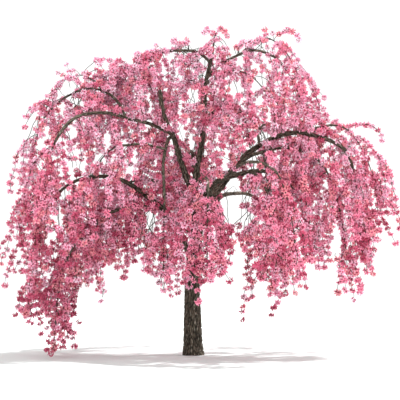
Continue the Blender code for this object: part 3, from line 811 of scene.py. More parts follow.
def extra_strings(parent, first, count, lengths, hem, bend, rng):
    """Strings at ragged steps along a stem or bough, as far as they hang above the hem."""
    found = []
    for share, side in ragged_steps(first, count, rng):
        path = kept_above(extra_string(parent, share, side, lengths, hem, bend, rng), hem)
        if len(path) >= EXTRA_LEAST:
            found.append(Twig(path, STRING_GIRTH, STRING_TIP))
    return found


def grow_mass_twigs(mass, bough_radii, paths, sprays, hem):
    """All twigs of a mass: the solids' stem and strings, their side twigs, and more strings."""
    rng = random.Random(mass.bough + " finer")
    stem = np.array(paths[0])
    found = [Twig(stem, bough_radii[-1], STEM_TIP)]
    for path in paths[1:]:
        swayed = np.array(path) + sway_of(path_length(np.array(path)), rng, len(path))
        found.append(Twig(kept_above(attached(swayed, stem), CLUSTER_LOWEST), STRING_GIRTH, STRING_TIP))
    for index, root, tip in sprays:
        found.append(side_twig(found[index].path, root, tip, rng))
    count = MORE_STRINGS.get(mass.bough, EXTRA_STRINGS)
    bend = WIDER_BENDS.get(mass.bough, EXTRA_BEND)
    return found + extra_strings(stem, 0.0, count, EXTRA_LENGTHS, hem, bend, rng)


def grow_bough_twigs(limb, path, hem):
    """Strings that hang from the outer part of a bough."""
    rng = random.Random(limb.name + " hanging")
    bare = BARE_SHARES.get(limb.name, BOUGH_STRING_FROM)
    count = int(limb.length * (1 - bare) / CLOSER_STEPS.get(limb.name, BOUGH_STRING_STEP))
    return extra_strings(path, bare, count, BOUGH_STRING_LENGTHS, hem, EXTRA_BEND, rng)


def grow_upright_twigs(name, path, first):
    """Short twigs that stand up from a limb or stem, beyond its first bare share."""
    rng = random.Random(name + " upright")
    found = []
    count = int(path_length(path) * (1 - first) / CLOSER_STEPS.get(name, UPRIGHT_STEP))
    for share, side in ragged_steps(first, count, rng):
        azimuth, slope = bearing_at(path, share)
        leave = azimuth + side * rng.uniform(*UPRIGHT_FAN)
        twig = hanging_path(along(path, share), leave, rng.uniform(*UPRIGHT_RISE),
                            rng.uniform(*UPRIGHT_END), UPRIGHT_BEND, rng.uniform(*UPRIGHT_LENGTHS), rng)
        if UPRIGHT_SLOPES[0] < slope < UPRIGHT_SLOPES[1]:
            found.append(Twig(twig, SIDE_GIRTH, SIDE_TIP))
    return found


@functools.lru_cache(maxsize=1)
def grown():
    """The limbs by name, the stems, and all finer twigs."""
    limbs = grow_limbs()
    paths, sprays = grow_masses(limbs)
    stems, twigs = [], []
    for limb, mass in zip(LIMBS, MASSES):
        points, radii = limbs[limb.name]
        hem = LOWER_HEMS.get(limb.name, mass.hem)
        stem, *found = grow_mass_twigs(mass, radii, paths[mass.bough], sprays[mass.bough], hem)
        stems.append(stem._replace(path=kept_from_gaps(stem.path)))
        twigs += found + grow_bough_twigs(limb, points, hem)
        twigs += grow_upright_twigs(limb.name, np.array(points), UPRIGHT_FROM)
        twigs += grow_upright_twigs(limb.name + " stem", stem.path, 0.0)
    twigs = [twig._replace(path=kept_from_gaps(twig.path)) for twig in twigs]
    return limbs, stems, [twig for twig in twigs if len(twig.path) >= FEWEST_POINTS]


# Flowers


def swung(points, first, second, angle):
    """Points turned by an angle, from the first of two axes towards the second."""
    turned = np.array(points)
    c, s = math.cos(angle), math.sin(angle)
    turned[:, first] = points[:, first] * c - points[:, second] * s
    turned[:, second] = points[:, first] * s + points[:, second] * c
    return turned


def rotated(points, axis, spin):
    """Points turned so that +Z lies along the axis, after a spin about it."""
    axis = unit(axis)
    across = unit(np.cross(axis, (0.0, 0.0, 1.0) if abs(axis[2]) < NEARLY_UPRIGHT else (1.0, 0.0, 0.0)))
    return swung(points, 0, 1, spin) @ np.array([across, np.cross(axis, across), axis])


def petal(length, width, lift, blunt):
    """One cupped petal that leaves the flower's middle along +X, as points and faces."""
    half = width * length / 2
    widest, raised = PETAL_WIDEST * length, PETAL_CUP * length
    points = [(PETAL_FOOT * length, 0.0, 0.0), (widest, -half, raised), (widest, half, raised)]
    if blunt:
        points += [(length, -PETAL_TIP * half, 0.0), (length, PETAL_TIP * half, 0.0)]
        faces = [(0, 1, 3), (0, 3, 4), (0, 4, 2)]
    else:
        points += [(length, 0.0, 0.0)]
        faces = [(0, 1, 3), (0, 3, 2)]
    return swung(np.array(points), 0, 2, math.radians(lift)), faces


def square(half, height):
    """Four corners round the Z axis."""
    return [(half, 0.0, height), (0.0, half, height), (-half, 0.0, height), (0.0, -half, height)]


class Shape:
    """Points and faces gathered into one mesh."""

    def __init__(self):
        self.points = []
        self.faces = []

    def add(self, points, faces):
        first = len(self.points)
        self.points += [tuple(p) for p in points]
        self.faces += [tuple(first + k for k in face) for face in faces]


def flower_shapes(radius, rng):
    """A double flower that faces +Z: its outer petals, its inner petals and its dark heart."""
    rings = (Shape(), Shape())
    for index, (share, width, lift) in enumerate((OUTER_RING, INNER_RING)):
        for k in range(PETALS):
            angle = math.tau * (k + index / 2) / PETALS + rng.uniform(-PETAL_STRAY, PETAL_STRAY)
            points, faces = petal(radius * share * rng.uniform(*PETAL_LENGTHS), width,
                                  lift + rng.uniform(*PETAL_LIFTS), index == 0)
            rings[index].add(rotated(points, np.array((0.0, 0.0, 1.0)), angle), faces)
    heart = Shape()
    heart.add(square(HEART_WIDTH * radius / 2, 0.0) + [(0.0, 0.0, HEART_HEIGHT * radius)],
              [(k, (k + 1) % 4, 4) for k in range(4)])
    return (*rings, heart)


def bud_shape():
    """A closed bud that hangs along -Z: eight faces round a four-cornered waist."""
    bud = Shape()
    bud.add(square(BUD_WIDTH / 2, -BUD_WAIST * BUD_LENGTH) + [(0.0, 0.0, 0.0), (0.0, 0.0, -BUD_LENGTH)],
            [(4, k, (k + 1) % 4) for k in range(4)] + [(k, 5, (k + 1) % 4) for k in range(4)])
    return bud


def stalk_shape(end, facing, girth):
    """A thin three-sided stalk from the spur to this end, where it is wider."""
    ring = np.array([heading(120 * k, 0) * girth for k in range(3)])
    return list(rotated(ring, facing, 0) + end) + [(0.0, 0.0, 0.0)], [(1, 0, 3), (2, 1, 3), (0, 2, 3)]


def cluster_shapes(number, flower_radius, stalk):
    """One cluster round its spur: outer petals, inner petals, hearts with a bud, and stalks."""
    rng = random.Random(f"cluster {number}")
    outer, inner, hearts, stalks = Shape(), Shape(), Shape(), Shape()
    count = CLUSTER_FLOWERS[0] + number % (CLUSTER_FLOWERS[1] - CLUSTER_FLOWERS[0] + 1)
    spin = rng.uniform(0, 360)
    for _ in range(count):
        spin += GOLDEN_ANGLE
        way = heading(spin, rng.uniform(*FLOWER_RISE))
        foot = way * stalk * rng.uniform(*STALK_LENGTHS) + np.array((0, 0, -FLOWER_SAG * stalk))
        facing = way + np.array([rng.uniform(-FACING_STRAY, FACING_STRAY) for _ in range(3)])
        turn = rng.uniform(0, math.tau)
        bloom = flower_shapes(flower_radius * rng.uniform(*FLOWER_SIZES), rng)
        for kept, made in zip((outer, inner, hearts), bloom):
            kept.add(rotated(np.array(made.points), facing, turn) + foot, made.faces)
        stalks.add(*stalk_shape(foot, facing, STALK_GIRTH))
    way = heading(spin + GOLDEN_ANGLE, BUD_LEAN)
    bud = bud_shape()
    hearts.add(rotated(np.array(bud.points), -way, 0) + way * stalk, bud.faces)
    stalks.add(*stalk_shape(way * stalk, way, STALK_GIRTH / 2))
    return outer, inner, hearts, stalks


Cluster = namedtuple("Cluster", "place kind turn size outer inner")


def clusters_along(path, rng):
    """Where clusters stand along a twig, from its tip upwards: at even but ragged spacings."""
    length = path_length(path)
    place = length
    found = []
    while place > FIRST_CLUSTER:
        found.append(along(path, place / length))
        spread = 1.0 + (TIP_SPACING - 1.0) * (place / length) ** TIP_POWER
        place -= rng.uniform(*CLUSTER_SPACING) * spread
    return found


def petal_tints(place, rng):
    """Which outer and inner petal colours a spray takes: paler in patches, paler high up and deeper low
    down as painted light and shade, and ragged.
    """
    patch = PATCH_LEAN * mathutils_noise(Vector(place) / PATCH_SIZE)
    # Sprays high in the crown are paler and low ones deeper: painted light and shade, as the hems get less
    # light
    high = HEIGHT_PAINTED_LIGHT * (place[2] - CROWN_MIDDLE)
    outer = sum(patch + high + TINT_STRAY * rng.gauss(0, 1) > limit for limit in OUTER_LIMITS)
    inner = sum(patch + high + TINT_STRAY * rng.gauss(0, 1) > limit for limit in INNER_LIMITS)
    return (RARE_TINT if rng.random() < RARE_SHARE else outer), inner


def in_the_open(places, limbs):
    """Which places lie before an open stretch of limb, or in a gap of sky."""
    found = in_gaps(places, SKY_GAPS)
    spots = seen(places)
    for name, first, last in OPEN_STRETCHES:
        points, radii = limbs[name]
        for share in np.arange(first, last, OPEN_STEP / path_length(np.array(points))):
            middle = along(points, share)
            near = np.linalg.norm(spots - seen(middle[None, :]), axis=1) < along(radii, share) + OPEN_MARGIN
            found |= near & (places[:, 1] < middle[1])
    return found


@functools.lru_cache(maxsize=1)
def all_clusters():
    """Every cluster of flowers on the tree."""
    limbs, stems, twigs = grown()
    rng = random.Random("clusters of flowers")
    places = []
    for twig in stems + twigs:
        places += clusters_along(twig.path, rng)
    for limb in LIMBS:
        points, radii = limbs[limb.name]
        for share in np.arange(BOUGH_CLUSTER_FROM, 1.0, BOUGH_CLUSTER_STEP / limb.length):
            girth = along(radii, share)
            if girth < BARE_GIRTH:
                outward = heading(rng.uniform(0, 360), rng.uniform(*BOUGH_CLUSTER_LEAN))
                places.append(along(points, share) + outward * (girth + BOUGH_CLUSTER_GAP))
    found = []
    for place in places:
        if place[2] < CLUSTER_LOWEST:
            continue
        tilts = [math.radians(rng.uniform(-CLUSTER_TILT, CLUSTER_TILT)) for _ in range(2)]
        turn = (*tilts, rng.uniform(0, math.tau))
        found.append(Cluster(place, rng.randrange(CLUSTER_KINDS), turn, rng.uniform(*CLUSTER_SIZES),
                             *petal_tints(place, rng)))
    opened = in_the_open(np.array([cluster.place for cluster in found]), limbs)
    return [cluster for cluster, out in zip(found, opened) if not out]


# Nodes and finished pieces


def socket_of(sockets, identifier):
    return next(socket for socket in sockets if socket.identifier == identifier)


def add_node(tree, kind, inputs=None, **settings):
    """Adds a node. settings are its properties. inputs are its sockets by identifier, each with a
    value, with the socket that feeds it, or with the node whose first output feeds it."""
    made = tree.nodes.new(kind)
    for name, value in settings.items():
        setattr(made, name, value)
    for key, value in (inputs or {}).items():
        socket = socket_of(made.inputs, key)
        if isinstance(value, bpy.types.Node):
            value = value.outputs[0]
        if isinstance(value, bpy.types.NodeSocket):
            tree.links.new(value, socket)
        else:
            socket.default_value = value
    return made


def new_tree(name, inputs, stored):
    """A Geometry Nodes tree with a mesh in and out, a material, and inputs by name and socket type.
    It comes with its inputs and with the values stored on its mesh, each by name."""
    tree = bpy.data.node_groups.new(name, "GeometryNodeTree")
    tree.interface.new_socket("Mesh", in_out="INPUT", socket_type="NodeSocketGeometry")
    for label, kind in (*inputs, ("Material", "NodeSocketMaterial")):
        tree.interface.new_socket(label, in_out="INPUT", socket_type=kind)
    tree.interface.new_socket("Mesh", in_out="OUTPUT", socket_type="NodeSocketGeometry")
    given = {socket.name: socket for socket in add_node(tree, "NodeGroupInput").outputs}
    for label in stored:
        given[label] = add_node(tree, "GeometryNodeInputNamedAttribute", {"Name": label},
                                data_type=STORED[label])
    return tree, given


def close_tree(tree, given, shape):
    """Ends a tree with real meshes in its material."""
    real = add_node(tree, "GeometryNodeRealizeInstances", {"Geometry": shape})
    painted = add_node(tree, "GeometryNodeSetMaterial", {"Geometry": real, "Material": given["Material"]})
    result = add_node(tree, "NodeGroupOutput")
    tree.links.new(painted.outputs[0], result.inputs[0])


def run_tree(thing, tree, values):
    """Runs a tree on an object, with its inputs set by name, and keeps the plain mesh that it gives."""
    modifier = thing.modifiers.new(tree.name, "NODES")
    modifier.node_group = tree
    for item in tree.interface.items_tree:
        if item.in_out == "INPUT" and item.name in values:
            modifier[item.identifier] = values[item.name]
    graph = bpy.context.evaluated_depsgraph_get()
    made = bpy.data.meshes.new_from_object(thing.evaluated_get(graph))
    thing.modifiers.remove(modifier)
    base = thing.data
    thing.data = made
    made.name = thing.name
    bpy.data.meshes.remove(base)


def add_object(name, mesh):
    thing = bpy.data.objects.new(name, mesh)
    bpy.context.scene.collection.objects.link(thing)
    return thing


def add_piece(name, mesh, tree, values, nodes):
    """Makes a finished piece by running a node tree on a mesh, and says its body and the
    solids that it stands for."""
    thing = add_object(name, mesh)
    run_tree(thing, tree, values)
    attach(thing, BODY)
    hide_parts(*nodes)


def new_mesh(name, points, edges=(), faces=(), **stored):
    """A mesh that keeps these values at its points."""
    mesh = bpy.data.meshes.new(name)
    mesh.from_pydata([tuple(point) for point in points], edges, faces)
    for label, values in stored.items():
        kind = STORED[label]
        data = mesh.attributes.new(label, kind, "POINT").data
        data.foreach_set("vector" if kind == "FLOAT_VECTOR" else "value",
                         np.array(values, dtype=np.int32 if kind == "INT" else np.float32).ravel())
    return mesh


def linear_colour(hex_colour):
    """A colour from its sRGB hex value."""
    channels = [int(hex_colour[k:k + 2], 16) / 255 for k in (1, 3, 5)]
    return [c / 12.92 if c <= 0.04045 else ((c + 0.055) / 1.055) ** 2.4 for c in channels]


def rgba(colour):
    return (*colour, 1.0)


def new_material(name, roughness, specular):
    """A material with its tree and its Principled shader, as rough and shiny as this."""
    material = bpy.data.materials.new(name)
    material.use_nodes = True
    shader = material.node_tree.nodes["Principled BSDF"]
    shader.inputs["Roughness"].default_value = roughness
    shader.inputs["Specular IOR Level"].default_value = specular
    return material, material.node_tree, shader


# Bark


def frames(ways):
    """Two unit vectors across each way on, carried along without a twist."""
    across = None
    found = []
    for way in ways:
        ahead = Vector(way).normalized()
        if across is None:
            across = Vector((0, 1, 0)).cross(ahead)
            if across.length < NEARLY_ALONG:
                across = Vector((1, 0, 0))
        across = across - ahead * across.dot(ahead)
        across.normalize()
        found.append((across.copy(), ahead.cross(across)))
    return found


def tube_mesh(name, tubes):
    """Closed tubes as one mesh. Each is a path, its radii, its sides and whether it has root lobes.
    The mesh keeps its place on the bark, its outward way and its girth at each point."""
    points, faces, places, outwards, girths = [], [], [], [], []
    for path, radii, sides, lobed in tubes:
        first, last = len(points), len(path) - 1
        run = 0.0
        for i, (across, up) in enumerate(frames(tangents(path))):
            run += float(np.linalg.norm(path[i] - path[max(0, i - 1)]))
            for k in range(sides):
                angle = math.tau * k / sides
                outward = np.array(across) * math.cos(angle) + np.array(up) * math.sin(angle)
                radius = radii[i] + (root_lobe(run, angle) if lobed else 0.0)
                point = path[i] + outward * radius
                points.append((point[0], point[1], max(0.0, point[2])))
                places.append((radii[i] * math.cos(angle), radii[i] * math.sin(angle), run))
                # The first ring's way out is level, so that no furrow cuts it below the ground
                outwards.append((outward[0], outward[1], outward[2] if i else 0.0))
                girths.append(radii[i])
        for i in range(last):
            for k in range(sides):
                low, after = first + i * sides + k, first + i * sides + (k + 1) % sides
                faces.append((low, after, after + sides, low + sides))
        for ring, order in ((0, -1), (last, 1)):
            middle = len(points)
            points.append(path[ring])
            places.append((0.0, 0.0, run if ring else 0.0))
            outwards.append((0.0, 0.0, 0.0))
            girths.append(radii[ring])
            start = first + ring * sides
            for k in range(sides):
                pair = (start + k, start + (k + 1) % sides)
                faces.append((*pair[::order], middle))
    return new_mesh(name, points, faces=faces, bark_place=places, outward=outwards, girth=girths)


def root_lobe(run, angle):
    """How far the trunk stands out of round, in shallow lobes that die away above the ground."""
    return LOBE_DEPTH * math.exp(-run / FLARE_HEIGHT) * math.cos(LOBES * angle)


def relief_tree():
    """Bark relief: long plates with furrows between them, cut inwards along each point's outward way."""
    sizes = ("Plate Width", "Plate Length", "Furrow Depth", "Depth Share")
    tree, given = new_tree("Bark relief", [(label, "NodeSocketFloat") for label in sizes],
                           ("bark_place", "outward", "girth"))
    cell = add_node(tree, "ShaderNodeCombineXYZ", {
        "X": given["Plate Width"], "Y": given["Plate Width"], "Z": given["Plate Length"]})
    scaled = add_node(tree, "ShaderNodeVectorMath", {
        "Vector": given["bark_place"], "Vector_001": cell}, operation="DIVIDE")
    # The plates' edges wander, so that furrows run together and part again
    wave = add_node(tree, "ShaderNodeTexNoise", {"Vector": scaled, "Scale": EDGE_WAVES, "Detail": 2.0})
    centred = add_node(tree, "ShaderNodeVectorMath", {
        "Vector": wave.outputs["Color"], "Vector_001": (0.5, 0.5, 0.5)}, operation="SUBTRACT")
    bent = add_node(tree, "ShaderNodeVectorMath", {
        "Vector": centred, "Vector_001": [EDGE_STRAY] * 3, "Vector_002": scaled}, operation="MULTIPLY_ADD")
    cells = add_node(tree, "ShaderNodeTexVoronoi", {
        "Vector": bent, "Scale": 1.0, "Randomness": PLATE_STRAY}, feature="DISTANCE_TO_EDGE")
    plate = add_node(tree, "ShaderNodeMapRange", {
        "Value": cells, "From Min": 0.0, "From Max": FURROW_SLOPE}, interpolation_type="SMOOTHSTEP")
    # The plates themselves are rough
    grain = add_node(tree, "ShaderNodeTexNoise", {"Vector": scaled, "Scale": GRAIN_WAVES, "Detail": 3.0})
    rough = add_node(tree, "ShaderNodeMath", {
        "Value": grain, "Value_001": GRAIN_DEPTH, "Value_002": -GRAIN_DEPTH / 2}, operation="MULTIPLY_ADD")
    height = add_node(tree, "ShaderNodeMath", {"Value": plate, "Value_001": rough}, operation="ADD")
    sunk = add_node(tree, "ShaderNodeMath", {"Value": height, "Value_001": 1.0}, operation="SUBTRACT")
    # A furrow is no deeper than its share of the limb's girth
    most = add_node(tree, "ShaderNodeMath", {
        "Value": given["girth"], "Value_001": given["Depth Share"]}, operation="MULTIPLY")
    depth = add_node(tree, "ShaderNodeMath", {
        "Value": most, "Value_001": given["Furrow Depth"]}, operation="MINIMUM")
    offset = add_node(tree, "ShaderNodeMath", {"Value": sunk, "Value_001": depth}, operation="MULTIPLY")
    shift = add_node(tree, "ShaderNodeVectorMath", {
        "Vector": given["outward"], "Scale": offset}, operation="SCALE")
    moved = add_node(tree, "GeometryNodeSetPosition", {"Geometry": given["Mesh"], "Offset": shift})
    kept = add_node(tree, "GeometryNodeStoreNamedAttribute", {
        "Geometry": moved, "Name": "plate", "Value": height}, data_type="FLOAT")
    smooth = add_node(tree, "GeometryNodeSetShadeSmooth", {"Geometry": kept, "Shade Smooth": True})
    close_tree(tree, given, smooth)
    return tree


def bark_material(name, bark, ridge_colour, fleck_width):
    """Old cherry bark, split into plates as the limb grew and weathered grey. It gives the eye dull
    grey-brown plates with pale flecks of lichen and worn cork on them, and furrows darkened with painted
    shade by their depth."""
    material, tree, shader = new_material(name, BARK_ROUGHNESS, BARK_SPECULAR)
    plate = add_node(tree, "ShaderNodeAttribute", attribute_name="plate")
    place = add_node(tree, "ShaderNodeAttribute", attribute_name="bark_place")
    per_metre = 1.0 / fleck_width
    stretched = add_node(tree, "ShaderNodeMapping", {
        "Vector": place.outputs["Vector"], "Scale": (per_metre, per_metre, per_metre / FLECK_STRETCH)})
    spots = add_node(tree, "ShaderNodeTexNoise", {"Vector": stretched, "Scale": 1.0, "Detail": 4.0})
    # The lower the relief, the more the colour gives way to the dark furrow colour: painted shade in the
    # furrows
    tone = add_node(tree, "ShaderNodeMapRange", {
        "Value": plate.outputs["Fac"], "From Min": 0.0, "From Max": SHADE_FREE_HEIGHT})
    body = add_node(tree, "ShaderNodeMix", {
        "Factor_Float": tone, "A_Color": rgba(bark.furrow_shade_colour), "B_Color": rgba(ridge_colour)},
        data_type="RGBA")
    fleck = add_node(tree, "ShaderNodeMapRange", {
        "Value": spots, "From Min": FLECK_LIMITS[0], "From Max": FLECK_LIMITS[1], "To Max": FLECK_COVER})
    on_plates = add_node(tree, "ShaderNodeMath", {"Value": fleck, "Value_001": tone}, operation="MULTIPLY")
    flecked = add_node(tree, "ShaderNodeMix", {
        "Factor_Float": on_plates, "A_Color": socket_of(body.outputs, "Result_Color"),
        "B_Color": rgba(bark.fleck_colour)}, data_type="RGBA")
    tree.links.new(socket_of(flecked.outputs, "Result_Color"), shader.inputs["Base Color"])
    return material


def mottled_material(name, colour, dark_share, patch, roughness):
    """A grown or painted surface of one colour with a soft mottle, whose patches are this wide in
    metres and darken to this share of the colour."""
    material, tree, shader = new_material(name, roughness, PLAIN_SPECULAR)
    place = add_node(tree, "ShaderNodeTexCoord")
    spots = add_node(tree, "ShaderNodeTexNoise", {
        "Vector": place.outputs["Object"], "Scale": 1.0 / patch, "Detail": 3.0})
    tone = add_node(tree, "ShaderNodeMapRange", {
        "Value": spots, "From Min": MOTTLE_LIMITS[0], "From Max": MOTTLE_LIMITS[1]})
    body = add_node(tree, "ShaderNodeMix", {
        "Factor_Float": tone, "A_Color": rgba([c * dark_share for c in colour]), "B_Color": rgba(colour)},
        data_type="RGBA")
    tree.links.new(socket_of(body.outputs, "Result_Color"), shader.inputs["Base Color"])
    return material


# Settings


def colour_setting(name, description, hex_colour):
    return FloatVectorProperty(name=name, description=description, default=linear_colour(hex_colour),
                               min=0.0, max=1.0, subtype="COLOR")


def length_setting(name, description, default, least):
    return FloatProperty(name=name, description=description, default=default, min=least, unit="LENGTH")


def angle_setting(name, description, degrees):
    return FloatProperty(name=name, description=description, default=math.radians(degrees), subtype="ANGLE")


def plain_setting(name, description, default, least):
    return FloatProperty(name=name, description=description, default=default, min=least)


class BarkSettings(bpy.types.PropertyGroup):
    """Sizes and colours of the bark."""

    plate_width: length_setting("Plate Width", "Width of a plate of bark on the trunk", 0.017, 0.005)
    plate_length: length_setting("Plate Length", "Height of a plate of bark on the trunk", 0.100, 0.01)
    furrow_depth: length_setting("Furrow Depth", "Depth of the trunk's furrows", 0.010, 0.0)
    fleck_width: length_setting("Fleck Width", "Width of a pale fleck on the trunk", 0.012, 0.002)
    # The furrow colour is painted shade, which the bark takes the deeper its furrows sink
    furrow_shade_colour: colour_setting("Furrow Colour", "Bark between the plates", "#1C1812")
    ridge_colour: colour_setting("Ridge Colour", "Bark on the plates", "#665C4E")
    # The boughs' plates are paler than the trunk's as painted light, which makes up for the shade that the
    # crown casts on them
    bough_lit_colour: colour_setting("Bough Colour", "Bark on the boughs' plates", "#7E7464")
    fleck_colour: colour_setting("Fleck Colour", "Pale flecks on the plates", "#C4BCAE")
    young_colour: colour_setting("Young Colour", "Bark of the thin hanging twigs", "#4E483C")


class BlossomSettings(bpy.types.PropertyGroup):
    """Sizes and colours of the flowers."""

    flower_width: length_setting("Flower Width", "Width of an open flower", 0.050, 0.01)
    stalk_length: length_setting("Stalk Length", "Length of a flower's stalk", 0.016, 0.002)
    cluster_size: plain_setting("Cluster Size", "Size of all clusters of flowers", 1.0, 0.1)
    outer_deep: colour_setting("Outer Deep", "Outer petals of the deepest sprays", "#D46080")
    outer_rose: colour_setting("Outer Rose", "Outer petals of rose sprays", "#FC9EBA")
    outer_bright: colour_setting("Outer Bright", "Outer petals of bright sprays", "#FFC2DA")
    outer_pale: colour_setting("Outer Pale", "Outer petals of the palest sprays", "#FFDCEC")
    outer_warm: colour_setting("Outer Warm", "Outer petals of the rarer warm sprays", "#FCA6B2")
    inner_deep: colour_setting("Inner Deep", "Inner petals of the deepest sprays", "#B84466")
    inner_rose: colour_setting("Inner Rose", "Inner petals of rose sprays", "#EC7699")
    inner_bright: colour_setting("Inner Bright", "Inner petals of bright sprays", "#FF9CC0")
    heart_colour: colour_setting("Heart Colour", "Hearts of the flowers and buds", "#84203C")
    stalk_colour: colour_setting("Stalk Colour", "Stalks of the flowers", "#6E5A40")


class StageSettings(bpy.types.PropertyGroup):
    """The camera, the lights and the floor."""

    lens: plain_setting("Lens", "Focal length in mm on a sensor 36 mm wide", 71.0, 10.0)
    camera_height: length_setting("Camera Height", "Height of the camera above the ground", 0.6, 0.0)
    camera_distance: length_setting("Camera Distance", "Distance from the trunk", 8.0, 1.0)
    camera_aside: length_setting("Camera Aside", "How far right of the trunk the camera stands", 0.07, -1.0)
    camera_pitch: angle_setting("Camera Pitch", "How far the camera looks up", 6.825)
    sun_strength: plain_setting("Sun Strength", "Strength of the key light", 4.3, 0.0)
    sun_azimuth: angle_setting("Sun Azimuth", "The key light's side, from +X towards +Y", 16)
    sun_height: angle_setting("Sun Height", "The key light's height above the horizon", 61)
    sun_width: angle_setting("Sun Width", "How wide the key light looks, which softens shadows", 2.5)
    sky_strength: plain_setting("Sky Strength", "Strength of the pale surroundings", 1.12, 0.0)
    floor_colour: colour_setting("Floor Colour", "Colour of the floor", "#E0E6E4")


# Pieces and the stage


def eased(rows, height):
    """The trunk rows' value at a height, evened out over a short way up and down."""
    near = np.linspace(-TRUNK_EASE, TRUNK_EASE, TRUNK_EASE_STEPS)
    return np.mean([value_at(rows, height + step) for step in near])


class CHERRY_TREE_OT_trunk(bpy.types.Operator):
    """Makes the trunk with its root flare and furrowed bark"""

    bl_idname = "cherry_tree.trunk"
    bl_label = "Trunk"

    def execute(self, context):
        bark = context.scene.cherry_bark
        heights = np.linspace(0.0, TRUNK_HEIGHT, TRUNK_FINE_RINGS)
        path = [np.array([eased(TRUNK_LEAN, z), 0.0, z]) for z in heights]
        radii = [eased(TRUNK_RADIUS, z) + FLARE * math.exp(-z / FLARE_HEIGHT) for z in heights]
        mesh = tube_mesh("trunk_bark", [(path, radii, TRUNK_FINE_SIDES, True)])
        add_piece("trunk_bark", mesh, relief_tree(), {
            "Plate Width": bark.plate_width, "Plate Length": bark.plate_length,
            "Furrow Depth": bark.furrow_depth, "Depth Share": 1.0,
            "Material": bark_material("Cherry bark, furrowed and weathered", bark, bark.ridge_colour,
                                      bark.fleck_width)}, ["trunk"])
        return {"FINISHED"}


def bough_tube(limb, limbs):
    """A bough's path, radii and sides, with a collar where it leaves its parent and slight knots."""
    points, radii = limbs[limb.name]
    rng = random.Random(limb.name + " knots")
    hidden = along(limbs[limb.parent][1], limb.at)
    shares = np.linspace(0.0, 1.0, int(limb.length / BOUGH_STEP))
    phases = [rng.uniform(0, math.tau) for _ in KNOTS]
    sizes = []
    for share in shares:
        run = share * limb.length
        collar = COLLAR * math.exp(-max(0.0, run - hidden) / (COLLAR_REACH * radii[0]))
        knots = sum(size * math.sin(run / wave + phase) for (size, wave), phase in zip(KNOTS, phases))
        girth = along(radii, share) * (1.0 + collar + knots * min(1.0, run / KNOTS_FROM))
        sizes.append(girth + BARK_THICKNESS)
    sides = THICK_SIDES if radii[0] > THICK_GIRTH else THIN_SIDES
    return [along(points, share) for share in shares], sizes, sides


class CHERRY_TREE_OT_boughs(bpy.types.Operator):
    """Makes the boughs, each with a collar where it leaves its parent"""

    bl_idname = "cherry_tree.boughs"
    bl_label = "Boughs"

    def execute(self, context):
        bark = context.scene.cherry_bark
        limbs, _, _ = grown()
        mesh = tube_mesh("bough_bark", [(*bough_tube(limb, limbs), False) for limb in LIMBS])
        add_piece("bough_bark", mesh, relief_tree(), {
            "Plate Width": bark.plate_width * BOUGH_PLATE_WIDTH,
            "Plate Length": bark.plate_length * BOUGH_PLATE_LENGTH,
            "Furrow Depth": bark.furrow_depth * BOUGH_FURROW_DEPTH, "Depth Share": BOUGH_DEPTH_SHARE,
            # The boughs take the paler bough colour, painted light against the crown's shade
            "Material": bark_material("Cherry bark, ridged and weathered", bark, bark.bough_lit_colour,
                                      bark.fleck_width * BOUGH_FLECK_WIDTH)},
                  [limb.name for limb in LIMBS])
        return {"FINISHED"}


def twig_tree():
    """Tubes along the edges of a mesh, as thick as its girth says."""
    tree, given = new_tree("Twigs", [("Sides", "NodeSocketInt")], ("girth",))
    line = add_node(tree, "GeometryNodeMeshToCurve", {"Mesh": given["Mesh"]})
    ring = add_node(tree, "GeometryNodeCurvePrimitiveCircle", {"Resolution": given["Sides"], "Radius": 1.0})
    tube = add_node(tree, "GeometryNodeCurveToMesh", {
        "Curve": line, "Profile Curve": ring, "Scale": given["girth"], "Fill Caps": True})
    smooth = add_node(tree, "GeometryNodeSetShadeSmooth", {"Geometry": tube, "Shade Smooth": True})
    close_tree(tree, given, smooth)
    return tree


def line_mesh(name, twigs, step):
    """The twigs' paths as edges, with their girths."""
    points, edges, girths = [], [], []
    for twig in twigs:
        count = max(FEWEST_POINTS, int(path_length(twig.path) / step))
        first = len(points)
        for share in np.linspace(0.0, 1.0, count):
            points.append(along(twig.path, share))
            girths.append(twig.girth + (twig.tip - twig.girth) * share)
        edges += [(first + k, first + k + 1) for k in range(count - 1)]
    return new_mesh(name, points, edges=edges, girth=girths)


MASS_NODES = [mass.bough + "_blossom" for mass in MASSES]


class CHERRY_TREE_OT_twigs(bpy.types.Operator):
    """Makes the stems of the masses and their hanging strings"""

    bl_idname = "cherry_tree.twigs"
    bl_label = "Twigs"

    def execute(self, context):
        _, stems, twigs = grown()
        tree = twig_tree()
        # Young cherry bark, grown this year and last: smooth, dull and grey-brown with a trace of
        # green. Its blotches, 30 mm long, give the eye light and dark stretches along each string.
        material = mottled_material("Young cherry bark, smooth", context.scene.cherry_bark.young_colour,
                                    dark_share=0.55, patch=0.030, roughness=0.8)
        for name, found, (sides, step) in (("stems", stems, STEM_TUBE), ("strings", twigs, STRING_TUBE)):
            add_piece(name, line_mesh(name, found, step), tree, {"Sides": sides, "Material": material},
                      MASS_NODES)
        return {"FINISHED"}


def cluster_tree():
    """Clusters of flowers stood on points, each with its own kind, turn and size."""
    tree, given = new_tree("Flower clusters", [("Clusters", "NodeSocketCollection"),
                                               ("Cluster Size", "NodeSocketFloat")],
                           ("kind", "turn", "size"))
    scale = add_node(tree, "ShaderNodeMath", {
        "Value": given["size"], "Value_001": given["Cluster Size"]}, operation="MULTIPLY")
    kinds = add_node(tree, "GeometryNodeCollectionInfo", {
        "Collection": given["Clusters"], "Separate Children": True, "Reset Children": True})
    spin = add_node(tree, "FunctionNodeEulerToRotation", {"Euler": given["turn"]})
    stood = add_node(tree, "GeometryNodeInstanceOnPoints", {
        "Points": given["Mesh"], "Instance": kinds, "Pick Instance": True,
        "Instance Index": given["kind"], "Rotation": spin, "Scale": scale})
    close_tree(tree, given, stood)
    return tree


